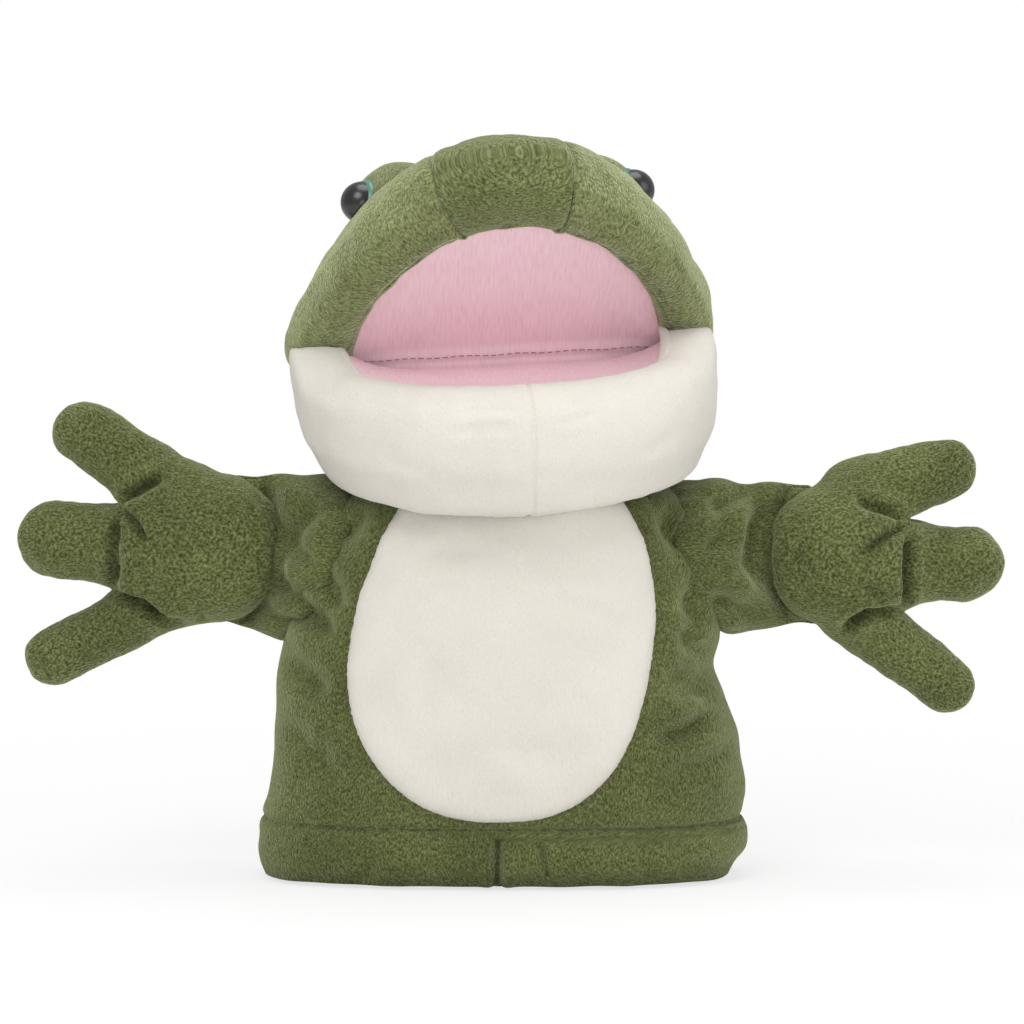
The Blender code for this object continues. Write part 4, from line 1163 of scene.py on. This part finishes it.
def jaw_skin():
    even = np.linspace(-1.0, 1.0, 300)
    turn = math.pi / 2 * (1.0 + 0.30 * even + 0.70 * even**3)
    tail, rows = 26, 110
    wall = 27.0
    at = np.linspace(0.0, len(JAW_ROWS) - 1.0, rows)
    row = through(np.arange(len(JAW_ROWS)), JAW_ROWS, at)
    off, half_r, half_l, reach = (row[:, i][:, None] for i in range(4))
    square = 2.0 / 2.25
    x = np.where(np.cos(turn) > 0.0, half_l, half_r) * power(np.cos(turn), square)[None]
    v = 3.0 + (reach - 3.0) * np.sin(turn)[None] ** square
    back = np.linspace(18.0, 0.0, tail, endpoint=False)[None]
    narrow = 1.0 - 0.0010 * back**2
    ends_l = np.broadcast_to(half_l * narrow, (rows, tail))
    ends_r = np.broadcast_to(-half_r * narrow, (rows, tail))
    turn_in = np.linspace(1.0, 0.0, 14, endpoint=False)[None]
    wall_l = wall + (ends_l[:, :1] - wall) * (1.0 - turn_in**1.5)
    wall_r = -wall + (ends_r[:, :1] + wall) * (1.0 - turn_in**1.5)
    shorter = 1.0 - 0.55 * smooth(off, 22.0, 38.0)
    rounding = 3.0 - (18.0 + 4.5 * turn_in**0.5) * shorter
    ends_v = 3.0 - back * shorter
    x = np.concatenate([wall_l, ends_l, x, ends_r[:, ::-1], wall_r[:, ::-1]], axis=1)
    v = np.concatenate([rounding, ends_v, v, ends_v[:, ::-1], rounding[:, ::-1]], axis=1)
    low = in_mouth(LOWER_TILT, x, v, np.broadcast_to(off, x.shape))
    lift = rows_at(CHEEK_LIFT, off)
    low[..., 2] += lift * smooth(36.0 - v, 4.0, 30.0)
    normals = grid_normals(low, False)
    normals = turned_outward(normals, low - np.array([0.0, -25.0, 145.0]))
    gap = np.abs(low[..., 0] - HINGE[0])
    front = smooth(v, 30.0, 45.0)
    shift = -0.5 * bell(gap, 0.6) * front + 0.15 * bell(gap - 2.4, 1.8) * front
    shift += 0.40 * waves(low, 61, 24.0) + 0.10 * waves(low, 62, 7.0)
    shift += front * creases(low[..., 0], low[..., 2], JAW_FOLDS)
    return over_shoulders(low + normals * shift[..., None])


# How far the cheeks are lifted towards the mouth's corners: off the palate's plane, lift.
CHEEK_LIFT = (
    (-3.0, 5.6), (1.2, 7.6), (6.0, 10.2), (13.0, 7.6), (21.0, 3.0), (30.0, 0.0), (45.0, 0.0),
)
JAW_FOLDS = (
    (((-28.0, 145.0), (-14.0, 146.5), (-3.0, 145.5)), 0.7, 1.3),
    (((-24.0, 151.0), (-12.0, 151.5), (-4.0, 150.5)), 0.5, 1.2),
    (((4.0, 146.5), (12.0, 147.0), (22.0, 149.0)), 0.5, 1.2),
    (((-50.0, 140.0), (-36.0, 134.0), (-20.0, 131.0)), 0.5, 2.6),
    (((24.0, 133.0), (38.0, 137.0), (52.0, 144.0)), 0.5, 2.6),
    (((-8.0, 132.0), (2.0, 131.0), (12.0, 132.5)), 0.4, 2.0),
)


def over_shoulders(points):
    """Lifts what would sink into the torso to just above its shoulders."""
    x, y = np.abs(points[..., 0]), np.abs(points[..., 1])
    top = np.full(x.shape, -100.0)
    for height in np.linspace(90.0, 131.0, 83):
        half, _, depth, square = rows_at(TORSO_ROWS, height)
        inside = (x / (half + 2.5)) ** square + (y / (depth + 2.5)) ** square < 1.0
        top = np.where(inside, height + 2.6, top)
    out = points.copy()
    out[..., 2] = np.maximum(points[..., 2], top)
    return out


def throat_skin():
    """The cloth from the neck's front round to the jaw's lower rear edge."""
    jaw = over_shoulders(jaw_skin_edge())
    angle = np.linspace(0.0, -math.pi, len(jaw))
    neck = np.stack([33.2 * np.cos(angle), 33.2 * np.sin(angle), np.full(len(jaw), 139.0)], axis=-1)
    t = np.linspace(0.0, 1.0, 26)[:, None, None]
    middle = 0.5 * (neck + jaw) + np.array([0.0, 0.0, 1.0])
    return curve(neck, middle, jaw, t)


def jaw_skin_edge():
    """The line along the jaw's lower rear edge that the throat is sewn to."""
    angle = np.linspace(0.0, math.pi, 120)
    x = 29.0 * np.cos(angle)
    v = 3.0 + 42.6 * np.sin(angle) ** 0.9
    return in_mouth(LOWER_TILT, x, v, 31.0)


# ---------------------------------------------------------------- mouth
FOLD_FORWARD = -3.6
LOWER_FORWARD = 2.4


def palate_skin(tilt, wider, front, depth, sharp, forward, pinch):
    """A padded palate in a D, hollowed a little, from the fold forward."""
    turn = np.linspace(0.0, math.pi, 150)
    share = np.linspace(0.0, 1.0, 70)[:, None]
    halves = (PALATE_HALVES[0] + wider, PALATE_HALVES[1] + wider)
    edge_x, edge_v = mouth_outline(turn, halves, front - forward, 0.0, sharp)
    x = edge_x[None] * share
    v = forward + edge_v[None] * share
    hollow = depth * (1.0 - share**5) + 0.9
    seam = 1.0 - pinch * bell(v - forward, 2.2)
    w = np.broadcast_to(hollow, x.shape) * seam
    points = in_mouth(tilt, x, v, w)
    points += 0.12 * waves(points, 71, 15.0)[..., None]
    if tilt < 0.0:
        points[..., 2] += 6.2 * smooth(36.0 - v, 4.0, 30.0) * share**6
    uv = np.stack([x, v], axis=-1) * MM
    return points, uv


def fold_skin():
    """The band of lining that folds at the hinge, between the two palates' stitched edges."""
    x = np.linspace(-PALATE_HALVES[0] - 2.0, PALATE_HALVES[1] + 2.0, 140)
    tip = 1.0 - smooth(np.abs(x), 42.0, 51.0)
    upper = in_mouth(UPPER_TILT, x, FOLD_FORWARD + 0.3, 1.7)
    lower = in_mouth(LOWER_TILT, x, LOWER_FORWARD + 1.2, 4.3)
    t = np.linspace(0.0, 1.0, 26)[:, None, None]
    sag = np.zeros((len(x), 3))
    sag[:, 1] = HINGE[1] + 5.0 + 2.0 * tip
    sag[:, 0] = x + HINGE[0]
    sag[:, 2] = HINGE[2] - 4.6
    points = curve(upper, sag, lower, t)
    bulge = 1.1 * np.sin(math.pi * t) ** 2 * (0.5 + 0.5 * np.sin(x * 0.16))[None, :, None]
    return points - bulge * np.array([0.0, 0.5, 0.0])


def stitch_path(tilt, forward, off, reach):
    x = np.linspace(-reach, reach, 160)
    return in_mouth(tilt, x, forward + 0.25 * np.sin(x * 0.35), off)


# ---------------------------------------------------------------- neck
def neck_skin():
    """The gathered neck between the shoulders and the head."""
    height = np.linspace(127.0, 141.0, 30)
    angle = np.arange(200) * math.tau / 200
    h, a = np.meshgrid(height, angle, indexing="ij")
    gathers = 0.25 * np.sin(a * 31.0) * smooth(h, 128.0, 136.0)
    radius = 33.4 - 0.7 * smooth(h, 130.0, 136.0) + gathers
    return np.stack([radius * np.cos(a), radius * np.sin(a), h], axis=-1)


def pole_basis(facing):
    """Three unit axes, the last of them along facing."""
    pole = np.array(facing, float)
    pole /= np.linalg.norm(pole)
    across = np.cross((0.0, 0.0, 1.0), pole)
    across /= np.linalg.norm(across)
    return np.stack([across, np.cross(pole, across), pole])


def dome_object(name, radius, height, place, facing, material, low=0.0):
    """A round cap on a plane, its pole along facing."""
    turn = np.arange(64) * math.tau / 64
    polar = np.linspace(low, 1.0, 30)[:, None] * math.pi / 2
    ring = radius * np.cos(polar)
    up = height * np.sin(polar)
    local = (ring * np.cos(turn), ring * np.sin(turn), up)
    local = np.stack(np.broadcast_arrays(*local), axis=-1)
    points = np.array(place, float) + local @ pole_basis(facing)
    return grid_object(name, head_place(points), True, material)


# Set with the help of a small search against the photograph.
EYES = {
    "right": {"mound": (-31.0, 4.5, 212.3), "facing": (-0.886, -0.372, 0.277)},
    "left": {"mound": (29.3, 4.5, 212.0), "facing": (0.886, -0.372, 0.277)},
}
MOUND_RADIUS = 16.4


def mound_object(side):
    """A stuffed eye mound: most of a ball, a little flattened at its pole."""
    centre = np.array(EYES[side]["mound"])
    turn = np.arange(96) * math.tau / 96
    polar = np.linspace(-0.35, 1.0, 70)[:, None] * math.pi / 2
    radius = MOUND_RADIUS
    ring = radius * np.cos(polar)
    local = (ring * np.cos(turn), ring * np.sin(turn), radius * np.sin(polar))
    local = np.stack(np.broadcast_arrays(*local), axis=-1)
    flatten = np.where(polar > 1.1, 1.0 - 0.10 * smooth(polar, 1.1, 1.4), 1.0)
    local = local * flatten[..., None]
    points = centre + local @ pole_basis(EYES[side]["facing"])
    points = points + 0.15 * waves(points, 81, 8.0)[..., None] * (points - centre) / radius
    mound = grid_object("plush_mound_" + side, head_place(points), True, LIT_HEAD_GREEN)
    mark_edge(mound, np.ones(len(mound.data.vertices)))
    return mound


# ---------------------------------------------------------------- build: head
head = head_object()
thicken(head, 2.0)
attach(head, "head")
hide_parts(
    "crown_panel", "head_side_left", "head_side_right", "gusset_left", "gusset_right",
    "head_stuffing", "finger_pocket", "upper_palate_board",
)

jaw = grid_object("plush_jaw", head_place(jaw_skin()), False, CREAM)
thicken(jaw, 2.0)
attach(jaw, "jaw")
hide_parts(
    "jaw_panel_left", "jaw_panel_right", "jaw_stuffing", "thumb_pocket", "lower_palate_board"
)

throat = grid_object("plush_throat", head_place(throat_skin()), False, CREAM)
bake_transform(throat)

points, uv = palate_skin(UPPER_TILT, 1.0, PALATE_FRONT + 1.4, 3.0, PALATE_SHARP, FOLD_FORWARD, 0.55)
upper = grid_object("pink_upper_palate", head_place(points), False, PINK, uv=uv)
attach(upper, "head")
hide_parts("upper_palate")

points, uv = palate_skin(LOWER_TILT, 3.0, 53.8, 2.9, (0.9, 0.9), LOWER_FORWARD, 0.0)
lower = grid_object("pink_lower_palate", head_place(points), False, PINK, uv=uv)
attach(lower, "jaw")
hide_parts("lower_palate")

fold = grid_object("pink_mouth_fold", head_place(fold_skin()), False, PINK)
start = head_place(in_mouth(UPPER_TILT, 0.0, FOLD_FORWARD, 1.6)) * MM
end = head_place(in_mouth(LOWER_TILT, 0.0, LOWER_FORWARD, 3.7)) * MM
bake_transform(fold)
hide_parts("mouth_fold")

seam = head_place(stitch_path(UPPER_TILT, FOLD_FORWARD + 1.3, 1.35, 49.0))
row = stitches("palate_stitches", seam, 1.7, 0.9, 0.22, PINK_THREAD)
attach(row, "head")

neck = grid_object("plush_neck", neck_skin(), True, GREEN)
thicken(neck, 1.6)
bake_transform(neck)
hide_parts("neck_ring")

for side, eye in EYES.items():
    mound = mound_object(side)
    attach(mound, "head")
    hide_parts("eye_mound_" + side)
    facing = eye["facing"]
    centre = np.array(eye["mound"]) + pole_basis(facing)[2] * (MOUND_RADIUS - 1.5)
    rim = dome_object("eye_shell_" + side, 7.5, 3.0, centre, facing, TEAL, -0.3)
    ball = dome_object("eye_ball_" + side, 6.7, 6.9, centre, facing, BLACK, 0.0)
    parts = ((rim, "eye_", "teal_plastic"), (ball, "pupil_", "black_plastic"))
    for piece, node_name, slot_name in parts:
        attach(piece, "head")
        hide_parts(node_name + side)
    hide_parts("eye_washer_" + side)


# ---------------------------------------------------------------- camera, light and stage
def looking(place, aim):
    """The turn that points a camera or a lamp from its place to its aim."""
    return (aim - place).to_track_quat("-Z", "Y").to_euler()


def camera_and_light():
    scene = bpy.context.scene
    data = bpy.data.cameras.new("camera")
    camera = bpy.data.objects.new("camera", data)
    scene.collection.objects.link(camera)
    aim = Vector((0.0, 0.0, 0.1155))
    rise = math.radians(4.0)
    camera.location = aim + Vector((0.0, -math.cos(rise), math.sin(rise))) * 1.3
    camera.rotation_euler = looking(camera.location, aim)
    data.angle = 2.0 * math.atan(0.16384 / 1.3)
    data.clip_start, data.clip_end = 0.05, 20.0
    scene.camera = camera
    world = bpy.data.worlds.new("studio")
    world.use_nodes = True
    tree = world.node_tree
    soft = tree.nodes["Background"]
    soft.inputs["Color"].default_value = (1.0, 1.0, 1.0, 1.0)
    soft.inputs["Strength"].default_value = 0.50
    seen = node(tree, "ShaderNodeBackground", Strength=1.0)
    seen.inputs["Color"].default_value = (1.0, 1.0, 1.0, 1.0)
    rays = node(tree, "ShaderNodeLightPath")
    either = node(tree, "ShaderNodeMixShader")
    tree.links.new(rays.outputs["Is Camera Ray"], either.inputs[0])
    tree.links.new(soft.outputs[0], either.inputs[1])
    tree.links.new(seen.outputs[0], either.inputs[2])
    tree.links.new(either.outputs[0], tree.nodes["World Output"].inputs["Surface"])
    scene.world = world
    scene.view_settings.view_transform = "Standard"
    lamps = (
        ("key", (-0.45, -0.95, 1.05), 0.8, 6.8),
        ("front", (0.25, -1.70, 0.05), 0.9, 8.0),
        ("fill", (1.10, -0.60, 0.60), 1.0, 3.8),
        ("top", (0.10, 0.05, 1.40), 1.0, 7.5),
    )
    for name, place, size, watts in lamps:
        light = bpy.data.lights.new(name, "AREA")
        light.shape = "DISK"
        light.size = size
        light.energy = watts
        lamp = bpy.data.objects.new(name, light)
        lamp.location = place
        lamp.rotation_euler = looking(lamp.location, Vector((0.0, 0.0, 0.11)))
        scene.collection.objects.link(lamp)


def make_floor():
    """A wide white floor, a little below the hem, that runs into the background without a line."""
    half = 4000.0
    corners = [(-half, -half, -1.2), (half, -half, -1.2), (half, half, -1.2), (-half, half, -1.2)]
    material, tree, shader = start_material("studio_floor", 0.9)
    place = node(tree, "ShaderNodeTexCoord")
    grain = noise_of(tree, place.outputs["Object"], 30.0, 2.0)
    colour = ramp_of(tree, grain, ((0.3, (0.90,) * 3), (0.7, (0.92,) * 3)))
    tree.links.new(colour, shader.inputs["Base Color"])
    glow = node(tree, "ShaderNodeEmission", Strength=1.0)
    glow.inputs["Color"].default_value = (1.0, 1.0, 1.0, 1.0)
    far = node(tree, "ShaderNodeVectorMath", operation="LENGTH")
    tree.links.new(place.outputs["Object"], far.inputs[0])
    reach = node(tree, "ShaderNodeMapRange")
    for socket, value in zip(("From Min", "From Max", "To Min", "To Max"), (0.10, 0.45, 0.72, 1.0)):
        reach.inputs[socket].default_value = value
    tree.links.new(far.outputs["Value"], reach.inputs["Value"])
    rays = node(tree, "ShaderNodeLightPath")
    share = node(tree, "ShaderNodeMath", operation="MULTIPLY")
    tree.links.new(reach.outputs["Result"], share.inputs[0])
    tree.links.new(rays.outputs["Is Camera Ray"], share.inputs[1])
    either = node(tree, "ShaderNodeMixShader")
    tree.links.new(share.outputs[0], either.inputs[0])
    tree.links.new(shader.outputs[0], either.inputs[1])
    tree.links.new(glow.outputs[0], either.inputs[2])
    tree.links.new(either.outputs[0], tree.nodes["Material Output"].inputs["Surface"])
    floor = mesh_object("studio_floor", corners, [(0, 1, 2, 3)], material)


camera_and_light()
make_floor()
